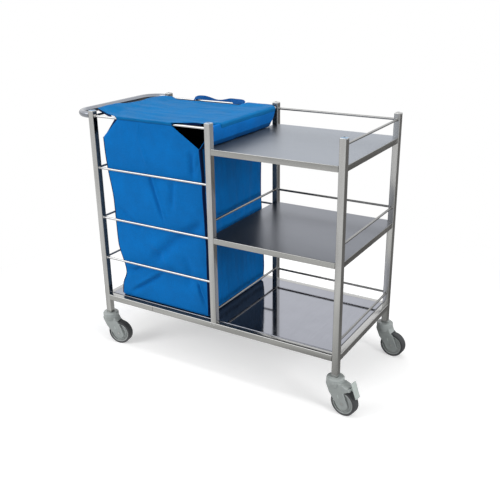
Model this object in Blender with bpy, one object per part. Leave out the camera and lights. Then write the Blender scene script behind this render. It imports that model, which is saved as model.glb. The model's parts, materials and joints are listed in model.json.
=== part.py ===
"""Linen trolley: a welded stainless frame on four swivel casters.

The left bay holds a hanging linen bag with a hinged lid, the right bay three shelves.
X runs along the trolley with the push handle at -X, Y runs from front to rear, Z is up.
The origin is on the floor under the middle of the frame. All sizes are in metres.
"""

from math import cos, pi, radians, sin

import bmesh
import bpy
from mathutils import Matrix, Vector

# Frame
FRAME_LENGTH = 1.088
FRAME_WIDTH = 0.516
BAG_BAY_LENGTH = 0.545
TUBE_SIZE = 0.025
TUBE_WALL = 0.0015
TUBE_CORNER = 0.0025
CAP_RISE = 0.005
CAP_TAPER = 0.75
CAP_ROUNDING = 0.22
CAP_LEVELS = (0.35, 0.70, 0.92)
SEAT_GAP = 0.0003

# Heights, each counted from the piece below it
RAIL_RISE = 0.059
TRAY_STEP = 0.0015
MIDDLE_SHELF_RISE = 0.3525
TOP_SHELF_RISE = 0.336
POST_RISE = 0.088

# Shelves and tray
SHELF_LIP = 0.022
SHELF_WALL = 0.0012
SHELF_EDGE_RADIUS = 0.0012
SHELF_SETBACK = 0.003

# Round bars
BAR_RADIUS = 0.0045
BAR_SIDES = 12
BAY_BAR_DROPS = (0.019, 0.225, 0.433, 0.610)
TOP_GUARD_RISE = 0.0655
MIDDLE_GUARD_RISE = 0.0595
BOTTOM_GUARD_RISE = 0.0475

# Push handle
HANDLE_RADIUS = 0.0125
HANDLE_WALL = 0.0015
HANDLE_REACH = 0.085
HANDLE_BEND = 0.075
HANDLE_DROP = 0.016
HANDLE_SIDES = 12
HANDLE_BEND_STEPS = 6

# Linen bag
CLOTH = 0.0022
CLOTH_GAP = 0.0006
BAG_FLOOR_GAP = 0.0005
NECK_DROP = 0.080
FOLD_LEAD = 0.020
FOLD_STEPS = 6
FRONT_TUCK_MARGINS = (0.116, 0.144)
LEFT_CUFF_MARGINS = (0.035, 0.035)
REAR_CUFF_MARGINS = (0.100, 0.100)
RIGHT_CUFF_MARGINS = (0.004, 0.035)
CUFF_HANG = 0.055
CUFF_OVER_SHELF = 0.0025
# (share of the bag's depth, inset from the left, front, right and rear of its bay)
BAG_SECTIONS = (
    (0.00, 0.058, 0.013, 0.033, 0.040),
    (0.08, 0.066, 0.013, 0.034, 0.034),
    (0.17, 0.088, 0.013, 0.038, 0.036),
    (0.34, 0.057, 0.012, 0.032, 0.046),
    (0.62, 0.052, 0.012, 0.030, 0.050),
    (0.84, 0.037, 0.007, 0.030, 0.044),
    (1.00, 0.040, -0.0035, 0.030, 0.030),
)
BAG_FRONT_COLUMNS = 6
BAG_END_COLUMNS = 5

# Lid of the bag and its pull strap
LID_MARGIN = 0.004
LID_CORNER_SPREAD = 0.080
STRAP_FROM_LEFT = 0.130
STRAP_LENGTH = 0.255
STRAP_WIDTH = 0.025
STRAP_THICKNESS = 0.0022
STRAP_ARCH = 0.011
STRAP_FOOT = 0.035
STRAP_SETBACK = 0.004
STRAP_STEPS = 12

# Casters
WHEEL_RADIUS = 0.050
WHEEL_TRAIL = 0.042
WHEEL_SIDES = 32
TYRE_WIDTH = 0.032
TYRE_DEPTH = 0.008
TYRE_LIP = 0.001
TYRE_SHOULDER = (0.004, 0.008)
HUB_RADIUS = 0.011
RIM_WALL = 0.0075
WEB_SINK = 0.006
WHEEL_SETBACK = 0.0005
MOULD_DRAFT = 0.001
AXLE_RADIUS = 0.004
AXLE_CLEARANCE = 0.0003
WHEEL_CLEARANCE = 0.0025
CHEEK_CLEARANCE = 0.0015
CHEEK_THICKNESS = 0.0035
CHEEK_RADIUS = 0.025
CHEEK_ARC = (200.0, 350.0)
CHEEK_STEPS = 8
CHEEK_ROOT = (0.005, 0.044)
FORK_WALL = 0.0035
FORK_KNEE = 0.030
FORK_LIP = 0.008
FORK_NECK = (0.034, 0.035)
HOOD_DEPTH = 0.013
HOOD_DROP = 0.014
BELL_CLEARANCE = 0.0005
BELL_RADIUS = 0.033
BELL_HEIGHT = 0.038
BELL_BAND = 0.020
BELL_STEP = 0.0023
BELL_ROUND = 0.0048
BELL_FOOT_RADIUS = 0.028
BELL_FOOT_RISE = 0.004
STEM_RADIUS = 0.006
STEM_CLEARANCE = 0.0003
STEM_CHAMFER = 0.001
FLANGE_RADIUS = 0.012
FLANGE_HEIGHT = 0.0014
PLUG_HEIGHT = 0.040
PLUG_CLEARANCE = 0.0005
ROUND_SIDES = 20
PIN_SIDES = 16

# Brake pedal of the two braked casters, from the caster's stem axis and its bell
PEDAL_PIVOT_OUT = 0.069
PEDAL_PIVOT_DROP = 0.028
PEDAL_BARREL = 0.0045
PEDAL_CLEARANCE = 0.0006
PEDAL_WIDTH = 0.036
PEDAL_THICKNESS = 0.004
PEDAL_TOP = (0.0055, 0.029)
PEDAL_FOOT = (0.0265, -0.027)
PEDAL_PIN_RADIUS = 0.002
PEDAL_ARM_SPAN = (0.012, 0.010)
PADDLE_ROUND = 0.002
EAR_RADIUS = 0.0055
EAR_THICKNESS = 0.005
EAR_ROOT = 0.012

# Each caster: where it stands, the way its wheel trails in degrees, and its brake
CASTERS = {
    "fl": ("left", "front", 11.0, False),
    "fr": ("right", "front", -9.0, True),
    "rl": ("left", "rear", 6.0, True),
    "rr": ("right", "rear", -5.0, False),
}

# Values worked out from the sizes above
LEFT = -FRAME_LENGTH / 2
RIGHT = FRAME_LENGTH / 2
FRONT = -FRAME_WIDTH / 2
REAR = FRAME_WIDTH / 2
MIDDLE = LEFT + BAG_BAY_LENGTH
HALF_TUBE = TUBE_SIZE / 2
POST_X = {"left": LEFT + HALF_TUBE, "middle": MIDDLE + HALF_TUBE, "right": RIGHT - HALF_TUBE}
POST_Y = {"front": FRONT + HALF_TUBE, "rear": REAR - HALF_TUBE}

WELL_RADIUS = WHEEL_RADIUS + WHEEL_CLEARANCE
BELL_BASE = WHEEL_RADIUS + WELL_RADIUS + BELL_CLEARANCE
BELL_TOP = BELL_BASE + BELL_HEIGHT
POST_FOOT = BELL_TOP + FLANGE_HEIGHT + 2 * SEAT_GAP
RAIL_BASE = POST_FOOT + RAIL_RISE
RAIL_TOP = RAIL_BASE + TUBE_SIZE
TRAY_TOP = RAIL_TOP + TRAY_STEP
MIDDLE_SHELF_TOP = TRAY_TOP + MIDDLE_SHELF_RISE
TOP_SHELF_TOP = MIDDLE_SHELF_TOP + TOP_SHELF_RISE
POST_TOP = TOP_SHELF_TOP + POST_RISE
TOP_BAR_Z = POST_TOP - BAY_BAR_DROPS[0]
HANDLE_Z = POST_TOP - HANDLE_DROP
FOLD_RADIUS = BAR_RADIUS + CLOTH_GAP + CLOTH / 2
CHEEK_INSIDE = TYRE_WIDTH / 2 + CHEEK_CLEARANCE
CHEEK_OUTSIDE = CHEEK_INSIDE + CHEEK_THICKNESS
PEDAL_PIVOT_Z = BELL_TOP - PEDAL_PIVOT_DROP


def clear_scene():
    for obj in list(bpy.data.objects):
        bpy.data.objects.remove(obj, do_unlink=True)


def make_material(name, color, roughness, metallic):
    material = bpy.data.materials.new(name)
    material.use_nodes = True
    shader = material.node_tree.nodes["Principled BSDF"]
    shader.inputs["Base Color"].default_value = (*color, 1.0)
    shader.inputs["Roughness"].default_value = roughness
    shader.inputs["Metallic"].default_value = metallic
    return material


def make_materials():
    return {
        "frame_steel": make_material("frame_steel", (0.62, 0.62, 0.60), 0.28, 1.0),
        "shelf_steel": make_material("shelf_steel", (0.58, 0.59, 0.61), 0.35, 1.0),
        "tray_steel": make_material("tray_steel", (0.66, 0.68, 0.70), 0.08, 1.0),
        "bag_cloth": make_material("bag_cloth", (0.010, 0.145, 0.480), 0.62, 0.0),
        "strap_webbing": make_material("strap_webbing", (0.012, 0.090, 0.360), 0.75, 0.0),
        "caster_plastic": make_material("caster_plastic", (0.31, 0.34, 0.33), 0.42, 0.0),
        "pedal_plastic": make_material("pedal_plastic", (0.42, 0.47, 0.45), 0.42, 0.0),
        "tyre_rubber": make_material("tyre_rubber", (0.035, 0.036, 0.038), 0.60, 0.0),
        "bolt_steel": make_material("bolt_steel", (0.55, 0.55, 0.54), 0.30, 1.0),
    }


def mesh_from(bm, name, smooth=False):
    bmesh.ops.recalc_face_normals(bm, faces=bm.faces)
    mesh = bpy.data.meshes.new(name)
    bm.to_mesh(mesh)
    bm.free()
    if smooth:
        mesh.shade_smooth()
        mesh.set_sharp_from_angle(angle=radians(35))
    return mesh


def add_node(name, mesh, material, parent=None, matrix=None):
    """Link one named piece, placed by matrix, under an optional parent."""
    obj = bpy.data.objects.new(name, mesh)
    bpy.context.scene.collection.objects.link(obj)
    if not mesh.materials:
        mesh.materials.append(material)
    obj.parent = parent
    if matrix is not None:
        obj.matrix_basis = matrix
    return obj


def add_empty(name, location, parent=None, turn=0.0):
    empty = bpy.data.objects.new(name, None)
    bpy.context.scene.collection.objects.link(empty)
    empty.parent = parent
    empty.location = location
    empty.rotation_euler = (0.0, 0.0, turn)
    return empty


def bridge_rings(bm, rings, closed=False):
    """Join equal rings of vertices with quads; closed also joins the last to the first."""
    count = len(rings[0])
    pairs = list(zip(rings, rings[1:]))
    if closed:
        pairs.append((rings[-1], rings[0]))
    for lower, upper in pairs:
        for i in range(count):
            j = (i + 1) % count
            bm.faces.new((lower[i], lower[j], upper[j], upper[i]))


def ring_of(bm, points):
    return [bm.verts.new(point) for point in points]


def arc(centre, reach, start, end, steps):
    """Points on an ellipse about a centre, from one angle to another in degrees."""
    points = []
    for i in range(steps + 1):
        angle = radians(start + (end - start) * i / steps)
        points.append((centre[0] + reach[0] * cos(angle), centre[1] + reach[1] * sin(angle)))
    return points


def rounded_square(size, corner, z, steps=2):
    """Points of a square of the given size with round corners, about the Z axis."""
    reach = size / 2 - corner
    points = []
    for quarter in range(4):
        start = quarter * pi / 2
        cx = reach * (1 if quarter in (0, 3) else -1)
        cy = reach * (1 if quarter in (0, 1) else -1)
        for i in range(steps + 1):
            angle = start + pi / 2 * i / steps
            points.append((cx + corner * cos(angle), cy + corner * sin(angle), z))
    return points


def post_mesh(length):
    """Square tube standing on z = 0, open below, closed above by a welded domed cap."""
    bm = bmesh.new()
    inside = TUBE_SIZE - 2 * TUBE_WALL
    inner_corner = TUBE_CORNER - TUBE_WALL
    rings = [ring_of(bm, rounded_square(inside, inner_corner, z)) for z in (length - TUBE_WALL, 0.0)]
    rings += [ring_of(bm, rounded_square(TUBE_SIZE, TUBE_CORNER, z)) for z in (0.0, length)]
    for level in CAP_LEVELS:
        narrowing = TUBE_SIZE * CAP_TAPER * (1.0 - (1.0 - level * level) ** 0.5)
        corner = TUBE_CORNER + CAP_ROUNDING * narrowing
        rings.append(ring_of(bm, rounded_square(TUBE_SIZE - narrowing, corner, length + CAP_RISE * level)))
    bridge_rings(bm, rings)
    bm.faces.new(rings[0])
    bm.faces.new(rings[-1])
    return mesh_from(bm, "post", smooth=True)


def rail_mesh(length):
    """Square tube along Z, open at both ends."""
    bm = bmesh.new()
    inside = TUBE_SIZE - 2 * TUBE_WALL
    inner_corner = TUBE_CORNER - TUBE_WALL
    rings = [ring_of(bm, rounded_square(inside, inner_corner, z)) for z in (length, 0.0)]
    rings += [ring_of(bm, rounded_square(TUBE_SIZE, TUBE_CORNER, z)) for z in (0.0, length)]
    bridge_rings(bm, rings, closed=True)
    return mesh_from(bm, "rail", smooth=True)


def bar_mesh(length, radius, sides):
    """Solid round bar along Z from z = 0."""
    bm = bmesh.new()
    rings = []
    for z in (0.0, length):
        rings.append(ring_of(bm, [(radius * cos(2 * pi * i / sides), radius * sin(2 * pi * i / sides), z)
                                  for i in range(sides)]))
    bridge_rings(bm, rings)
    bm.faces.new(rings[0])
    bm.faces.new(rings[1])
    return mesh_from(bm, "bar", smooth=True)


def along(start, end):
    """Matrix that lays a piece modelled along Z from start towards end, and the run's length."""
    run = Vector(end) - Vector(start)
    return Matrix.Translation(start) @ run.to_track_quat("Z", "Y").to_matrix().to_4x4(), run.length


def add_posts(materials):
    for side, x in POST_X.items():
        foot = RAIL_TOP + SEAT_GAP if side == "middle" else POST_FOOT
        mesh = post_mesh(POST_TOP - foot)
        for row, y in POST_Y.items():
            add_node(f"post_{row}_{side}", mesh, materials["frame_steel"],
                     matrix=Matrix.Translation((x, y, foot)))


def add_rails(materials):
    """Four square tubes between the feet of the corner posts."""
    z = RAIL_BASE + HALF_TUBE
    near = HALF_TUBE + SEAT_GAP
    runs = {
        "front": ((POST_X["left"] + near, POST_Y["front"], z), (POST_X["right"] - near, POST_Y["front"], z)),
        "rear": ((POST_X["left"] + near, POST_Y["rear"], z), (POST_X["right"] - near, POST_Y["rear"], z)),
        "left": ((POST_X["left"], POST_Y["front"] + near, z), (POST_X["left"], POST_Y["rear"] - near, z)),
        "right": ((POST_X["right"], POST_Y["front"] + near, z), (POST_X["right"], POST_Y["rear"] - near, z)),
    }
    for name, (start, end) in runs.items():
        matrix, length = along(start, end)
        add_node(f"rail_{name}", rail_mesh(length), materials["frame_steel"], matrix=matrix)


def pan_outline(x0, x1, y0, y1, notch):
    """Corners of a rectangle, or of one with a square notch at each corner."""
    if notch == 0.0:
        return [(x0, y0), (x1, y0), (x1, y1), (x0, y1)]
    return [
        (x0 + notch, y0), (x1 - notch, y0), (x1 - notch, y0 + notch), (x1, y0 + notch),
        (x1, y1 - notch), (x1 - notch, y1 - notch), (x1 - notch, y1), (x0 + notch, y1),
        (x0 + notch, y1 - notch), (x0, y1 - notch), (x0, y0 + notch), (x0 + notch, y0 + notch),
    ]


def pan_mesh(x0, x1, y0, y1, top, notch):
    """Sheet with its edges turned down, as a folded shelf is; the fold has a small radius."""
    bm = bmesh.new()

    def ring(inset, z):
        outline = pan_outline(x0 + inset, x1 - inset, y0 + inset, y1 - inset, notch)
        return ring_of(bm, [(x, y, z) for x, y in outline])

    fold = SHELF_EDGE_RADIUS
    low = top - SHELF_LIP
    rings = [ring(SHELF_WALL, top - SHELF_WALL), ring(SHELF_WALL, low), ring(0.0, low)]
    rings += [ring(inset, z) for inset, z in arc((fold, top - fold), (fold, fold), 180, 90, 2)]
    bridge_rings(bm, rings)
    bm.faces.new(rings[0])
    bm.faces.new(rings[-1])
    return mesh_from(bm, "pan")


def add_shelves(materials):
    left = MIDDLE + SHELF_SETBACK
    right = RIGHT - SHELF_SETBACK
    notch = TUBE_SIZE + SEAT_GAP
    for name, top in (("shelf_middle", MIDDLE_SHELF_TOP), ("shelf_top", TOP_SHELF_TOP)):
        mesh = pan_mesh(left, right, FRONT, REAR, top, notch)
        add_node(name, mesh, materials["shelf_steel"])
    edge = TUBE_SIZE + SEAT_GAP
    mesh = pan_mesh(LEFT + edge, RIGHT - edge, FRONT + edge, REAR - edge, TRAY_TOP, 0.0)
    add_node("tray_bottom", mesh, materials["tray_steel"])


def add_bar(name, start, end, materials):
    """Round bar between two points on the post centres, stopped at the post faces."""
    start, end = Vector(start), Vector(end)
    inset = (end - start).normalized() * (HALF_TUBE + SEAT_GAP)
    matrix, length = along(start + inset, end - inset)
    add_node(name, bar_mesh(length, BAR_RADIUS, BAR_SIDES), materials["frame_steel"], matrix=matrix)


def add_bars(materials):
    x, y = POST_X, POST_Y
    for level, drop in enumerate(BAY_BAR_DROPS, start=1):
        z = POST_TOP - drop
        for row in ("front", "rear"):
            add_bar(f"bay_bar_{row}_{level}", (x["left"], y[row], z), (x["middle"], y[row], z), materials)
        add_bar(f"bay_bar_left_{level}", (x["left"], y["front"], z), (x["left"], y["rear"], z), materials)
    add_bar("bay_bar_middle", (x["middle"], y["front"], TOP_BAR_Z), (x["middle"], y["rear"], TOP_BAR_Z),
            materials)
    guards = {
        "top": (TOP_SHELF_TOP + TOP_GUARD_RISE, ("rear", "right")),
        "middle": (MIDDLE_SHELF_TOP + MIDDLE_GUARD_RISE, ("left", "rear", "right")),
        "bottom": (TRAY_TOP + BOTTOM_GUARD_RISE, ("left", "rear", "right")),
    }
    for shelf, (z, sides) in guards.items():
        ends = {
            "left": ((x["middle"], y["front"], z), (x["middle"], y["rear"], z)),
            "rear": ((x["middle"], y["rear"], z), (x["right"], y["rear"], z)),
            "right": ((x["right"], y["front"], z), (x["right"], y["rear"], z)),
        }
        for side in sides:
            add_bar(f"guard_{shelf}_{side}", *ends[side], materials)


def handle_path():
    """Centre line of the handle: out from one post, across, and back to the other."""
    front, rear = POST_Y["front"], POST_Y["rear"]
    start_x = LEFT - SEAT_GAP
    centre_x = LEFT - HANDLE_REACH + HANDLE_BEND
    bend = pi / 2 / HANDLE_BEND_STEPS
    path = [Vector((start_x, front, HANDLE_Z))]
    for i in range(HANDLE_BEND_STEPS + 1):
        path.append(Vector((centre_x - HANDLE_BEND * sin(i * bend),
                            front + HANDLE_BEND * (1 - cos(i * bend)), HANDLE_Z)))
    for i in range(HANDLE_BEND_STEPS + 1):
        path.append(Vector((centre_x - HANDLE_BEND * cos(i * bend),
                            rear - HANDLE_BEND * (1 - sin(i * bend)), HANDLE_Z)))
    path.append(Vector((start_x, rear, HANDLE_Z)))
    return path


def add_handle(materials):
    """Bent round tube, open at the ends that are welded to the posts."""
    bm = bmesh.new()
    path = handle_path()
    outer, inner = [], []
    for i, point in enumerate(path):
        before = path[max(i - 1, 0)]
        after = path[min(i + 1, len(path) - 1)]
        tangent = (after - before).normalized()
        if i in (0, len(path) - 1):
            tangent = Vector((-1 if i == 0 else 1, 0, 0))
        side = tangent.cross(Vector((0, 0, 1)))
        for rings, radius in ((outer, HANDLE_RADIUS), (inner, HANDLE_RADIUS - HANDLE_WALL)):
            rings.append(ring_of(bm, [point + radius * (side * cos(2 * pi * k / HANDLE_SIDES)
                                                        + Vector((0, 0, sin(2 * pi * k / HANDLE_SIDES))))
                                      for k in range(HANDLE_SIDES)]))
    bridge_rings(bm, outer + inner[::-1], closed=True)
    add_node("push_handle", mesh_from(bm, "push_handle", smooth=True), materials["frame_steel"])


def bag_section(share, insets):
    """Corners of the bag at a share of its depth: front left, front right, rear right, rear left."""
    left, front, right, rear = insets
    floor = TRAY_TOP + BAG_FLOOR_GAP + CLOTH / 2
    z = floor + (TOP_BAR_Z - NECK_DROP - floor) * share
    x0 = POST_X["left"] + BAR_RADIUS + left
    x1 = MIDDLE - right
    y0 = POST_Y["front"] + BAR_RADIUS + front
    y1 = POST_Y["rear"] - BAR_RADIUS - rear
    return [Vector(p) for p in ((x0, y0, z), (x1, y0, z), (x1, y1, z), (x0, y1, z))]


def fold_profile(inward):
    """Path of a cuff over the top bar as (outward, up) offsets from the bar's centre.

    With inward the cloth comes up outside the bar and is tucked in; otherwise it comes up
    inside the bar and hangs down outside it.
    """
    side = 1 if inward else -1
    points = [(side * FOLD_RADIUS, -FOLD_LEAD), (side * FOLD_RADIUS, 0.0)]
    for i in range(1, FOLD_STEPS + 1):
        angle = pi * i / FOLD_STEPS
        points.append((side * FOLD_RADIUS * cos(angle), FOLD_RADIUS * sin(angle)))
    return points


def add_bag(materials):
    """Bag as one cloth shell: floor, four walls and four cuffs that fold over the top bars."""
    bm = bmesh.new()
    columns = (BAG_FRONT_COLUMNS, BAG_END_COLUMNS, BAG_FRONT_COLUMNS, BAG_END_COLUMNS)
    rings = []
    for share, *insets in BAG_SECTIONS:
        corners = bag_section(share, insets)
        points = []
        for side in range(4):
            start, end = corners[side], corners[(side + 1) % 4]
            points += [start.lerp(end, i / columns[side]) for i in range(columns[side])]
        rings.append(ring_of(bm, points))
    bridge_rings(bm, rings)
    bm.faces.new(rings[0])

    neck = rings[-1]
    shelf_hang = TOP_BAR_Z - TOP_SHELF_TOP - CUFF_OVER_SHELF
    inner_left, inner_right = LEFT + TUBE_SIZE, MIDDLE
    inner_front, inner_rear = FRONT + TUBE_SIZE, REAR - TUBE_SIZE
    cuffs = (
        ((inner_left + FRONT_TUCK_MARGINS[0], POST_Y["front"]), (inner_right - FRONT_TUCK_MARGINS[1],
         POST_Y["front"]), Vector((0, -1, 0)), True, CUFF_HANG),
        ((POST_X["middle"], inner_front + RIGHT_CUFF_MARGINS[0]), (POST_X["middle"],
         inner_rear - RIGHT_CUFF_MARGINS[1]), Vector((1, 0, 0)), False, shelf_hang),
        ((inner_right - REAR_CUFF_MARGINS[0], POST_Y["rear"]), (inner_left + REAR_CUFF_MARGINS[1],
         POST_Y["rear"]), Vector((0, 1, 0)), False, CUFF_HANG),
        ((POST_X["left"], inner_rear - LEFT_CUFF_MARGINS[0]), (POST_X["left"],
         inner_front + LEFT_CUFF_MARGINS[1]), Vector((-1, 0, 0)), False, CUFF_HANG),
    )
    first = 0
    for side, (start, end, outward, inward, hang) in enumerate(cuffs):
        count = columns[side]
        row = [neck[(first + i) % len(neck)] for i in range(count + 1)]
        first += count
        profile = fold_profile(inward)
        profile.append((profile[-1][0], -hang))
        for out, up in profile:
            low = Vector((*start, TOP_BAR_Z + up)) + outward * out
            high = Vector((*end, TOP_BAR_Z + up)) + outward * out
            above = [bm.verts.new(low.lerp(high, i / count)) for i in range(count + 1)]
            for i in range(count):
                bm.faces.new((row[i], row[i + 1], above[i + 1], above[i]))
            row = above
    bag = add_node("linen_bag", mesh_from(bm, "linen_bag"), materials["bag_cloth"])
    thickness = bag.modifiers.new("cloth", "SOLIDIFY")
    thickness.thickness = CLOTH
    thickness.offset = 0.0
    thickness.use_even_offset = True


def prism_mesh(outline, half_width, name):
    """Extrude an outline given in (x, z) to both sides of y = 0."""
    bm = bmesh.new()
    rings = [ring_of(bm, [(x, y, z) for x, z in outline]) for y in (-half_width, half_width)]
    bridge_rings(bm, rings)
    bm.faces.new(rings[0])
    bm.faces.new(rings[1])
    return mesh_from(bm, name)


def add_lid(materials):
    """Lid that lies on the cuffs and turns about the front top bar, with its pull strap."""
    cuff_reach = FOLD_RADIUS + CLOTH / 2
    hinge_y = POST_Y["front"] - cuff_reach - CLOTH - SEAT_GAP
    hinge = add_empty("lid_hinge", (0.0, hinge_y, TOP_BAR_Z + cuff_reach + SEAT_GAP))
    side_left, side_right = POST_X["left"], POST_X["middle"]
    tab_left = LEFT + TUBE_SIZE + LID_MARGIN
    tab_right = MIDDLE - LID_MARGIN
    notch = REAR - TUBE_SIZE - LID_MARGIN - hinge_y
    rear = POST_Y["rear"] - hinge_y
    narrow_left = LEFT + TUBE_SIZE + FRONT_TUCK_MARGINS[0]
    narrow_right = MIDDLE - FRONT_TUCK_MARGINS[1]
    outline = ((narrow_left, 0.0), (narrow_right, 0.0), (side_right, LID_CORNER_SPREAD),
               (side_right, notch), (tab_right, notch), (tab_right, rear), (tab_left, rear),
               (tab_left, notch), (side_left, notch), (side_left, LID_CORNER_SPREAD))
    bm = bmesh.new()
    rings = [ring_of(bm, [(x, y, z) for x, y in outline]) for z in (0.0, CLOTH)]
    bridge_rings(bm, rings)
    bm.faces.new(rings[0])
    bm.faces.new(rings[1])
    add_node("bag_lid", mesh_from(bm, "bag_lid"), materials["bag_cloth"], parent=hinge)

    strap_base = CLOTH + SEAT_GAP
    under, over = [], []
    for i in range(STRAP_STEPS + 1):
        run = STRAP_LENGTH * i / STRAP_STEPS
        free = min(max((run - STRAP_FOOT) / (STRAP_LENGTH - 2 * STRAP_FOOT), 0.0), 1.0)
        lift = STRAP_ARCH * (1 - cos(2 * pi * free)) / 2
        under.append((LEFT + STRAP_FROM_LEFT + TUBE_SIZE + run, strap_base + lift))
        over.append((under[-1][0], under[-1][1] + STRAP_THICKNESS))
    mesh = prism_mesh(under + over[::-1], STRAP_WIDTH / 2, "bag_strap")
    place = Matrix.Translation((0.0, rear - STRAP_SETBACK - STRAP_WIDTH / 2, 0.0))
    add_node("bag_strap", mesh, materials["strap_webbing"], parent=hinge, matrix=place)


def turned_mesh(profile, sides, name, axis="Z", closed=False, phase=0.0):
    """Turn (radius, height) points about an axis; closed joins the profile's ends for a ring."""
    bm = bmesh.new()
    rings = []
    for radius, height in profile:
        points = []
        for i in range(sides):
            angle = 2 * pi * i / sides + phase
            a, b = radius * cos(angle), radius * sin(angle)
            points.append((a, b, height) if axis == "Z" else (a, height, b))
        rings.append(ring_of(bm, points))
    bridge_rings(bm, rings, closed=closed)
    if not closed:
        bm.faces.new(rings[0])
        bm.faces.new(rings[-1])
    return mesh_from(bm, name, smooth=True)


def combine(base, operations, name):
    """Apply Boolean operations, given as (operation, mesh) pairs, to a mesh."""
    helpers = [bpy.data.objects.new("helper", mesh) for mesh in [base] + [tool for _, tool in operations]]
    for helper in helpers:
        bpy.context.scene.collection.objects.link(helper)
    for (operation, _), tool in zip(operations, helpers[1:]):
        boolean = helpers[0].modifiers.new(operation.lower(), "BOOLEAN")
        boolean.operation = operation
        boolean.solver = "EXACT"
        boolean.object = tool
    depsgraph = bpy.context.evaluated_depsgraph_get()
    result = bpy.data.meshes.new_from_object(helpers[0].evaluated_get(depsgraph))
    for helper in helpers:
        bpy.data.objects.remove(helper, do_unlink=True)
    result.name = name
    result.shade_smooth()
    result.set_sharp_from_angle(angle=radians(35))
    return result


def fork_outline(braked):
    """Side view of the fork in (trail, height): front edge, round foot at the axle, neck or hood."""
    band_low = BELL_TOP - BELL_BAND
    hood_end = PEDAL_PIVOT_OUT - PEDAL_BARREL - PEDAL_CLEARANCE
    hood_top = PEDAL_PIVOT_Z + PEDAL_BARREL
    points = [(-BELL_FOOT_RADIUS, band_low), (-BELL_FOOT_RADIUS, band_low - FORK_LIP),
              (WHEEL_TRAIL - WELL_RADIUS - FORK_WALL, WHEEL_RADIUS + FORK_KNEE)]
    points += arc((WHEEL_TRAIL, WHEEL_RADIUS), (CHEEK_RADIUS, CHEEK_RADIUS), *CHEEK_ARC, CHEEK_STEPS)
    points.append((WHEEL_TRAIL + CHEEK_ROOT[0], WHEEL_RADIUS + CHEEK_ROOT[1]))
    if braked:
        points += [(hood_end, hood_top - HOOD_DEPTH), (hood_end, hood_top)]
        points.append((BELL_RADIUS, BELL_TOP - HOOD_DROP))
    else:
        points += [(FORK_NECK[0], BELL_TOP - FORK_NECK[1]), (BELL_FOOT_RADIUS, band_low)]
    return points


def housing_mesh(braked):
    """Moulded bell with two fork cheeks, bored for the stem and the axle."""
    band_low = BELL_TOP - BELL_BAND
    bell_rim = arc((BELL_RADIUS - BELL_ROUND, BELL_TOP - BELL_ROUND), (BELL_ROUND, BELL_ROUND), 0, 90, 2)
    bell = turned_mesh([(BELL_FOOT_RADIUS, BELL_BASE + BELL_FOOT_RISE),
                        (BELL_RADIUS - BELL_STEP, band_low - MOULD_DRAFT), (BELL_RADIUS, band_low)]
                       + bell_rim, ROUND_SIDES, "bell")
    well = turned_mesh([(WELL_RADIUS, -CHEEK_INSIDE), (WELL_RADIUS, CHEEK_INSIDE)], WHEEL_SIDES, "well",
                       axis="Y")
    well.transform(Matrix.Translation((WHEEL_TRAIL, 0.0, WHEEL_RADIUS)))
    stem_bore = bar_mesh(2 * BELL_HEIGHT, STEM_RADIUS + STEM_CLEARANCE, ROUND_SIDES)
    stem_bore.transform(Matrix.Translation((0.0, 0.0, BELL_BASE - BELL_HEIGHT / 2)))
    axle_reach = 2 * CHEEK_OUTSIDE
    axle_bore = turned_mesh([(AXLE_RADIUS + AXLE_CLEARANCE, -axle_reach),
                             (AXLE_RADIUS + AXLE_CLEARANCE, axle_reach)], ROUND_SIDES, "axle_bore", axis="Y")
    axle_bore.transform(Matrix.Translation((WHEEL_TRAIL, 0.0, WHEEL_RADIUS)))
    operations = [("UNION", prism_mesh(fork_outline(braked), CHEEK_OUTSIDE, "fork"))]
    if braked:
        pivot = Matrix.Translation((PEDAL_PIVOT_OUT, 0.0, PEDAL_PIVOT_Z))
        ears = prism_mesh([(-EAR_ROOT, -EAR_RADIUS)] + arc((0.0, 0.0), (EAR_RADIUS, EAR_RADIUS), -90, 90, 4)
                          + [(-EAR_ROOT, PEDAL_BARREL)], CHEEK_OUTSIDE, "ears")
        slot_back = -PEDAL_BARREL - PEDAL_CLEARANCE
        slot_end = HOOD_DEPTH + EAR_RADIUS
        slot = prism_mesh([(slot_back, -slot_end), (slot_end, -slot_end), (slot_end, slot_end),
                           (slot_back, slot_end)], CHEEK_OUTSIDE - EAR_THICKNESS, "slot")
        pin_bore = turned_mesh([(PEDAL_PIN_RADIUS + SEAT_GAP, -axle_reach),
                                (PEDAL_PIN_RADIUS + SEAT_GAP, axle_reach)], PIN_SIDES, "pin_bore", axis="Y")
        for tool in (ears, slot, pin_bore):
            tool.transform(pivot)
        operations += [("UNION", ears), ("DIFFERENCE", slot), ("DIFFERENCE", pin_bore)]
    operations += [("DIFFERENCE", well), ("DIFFERENCE", stem_bore), ("DIFFERENCE", axle_bore)]
    return combine(bell, operations, "caster_housing")


def stem_mesh():
    """King pin, flange under the post and plug inside its tube, turned in one piece."""
    plug = TUBE_SIZE / 2 - TUBE_WALL - PLUG_CLEARANCE
    flange_low = BELL_TOP + SEAT_GAP
    stem_end = BELL_BASE + BELL_FOOT_RISE + BELL_CLEARANCE
    profile = [(STEM_RADIUS - STEM_CHAMFER, stem_end), (STEM_RADIUS, stem_end + STEM_CHAMFER),
               (STEM_RADIUS, flange_low), (FLANGE_RADIUS, flange_low),
               (FLANGE_RADIUS, flange_low + FLANGE_HEIGHT), (plug, flange_low + FLANGE_HEIGHT),
               (plug, POST_FOOT + PLUG_HEIGHT - STEM_CHAMFER), (plug - STEM_CHAMFER, POST_FOOT + PLUG_HEIGHT)]
    return turned_mesh(profile, PIN_SIDES, "caster_stem")


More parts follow.
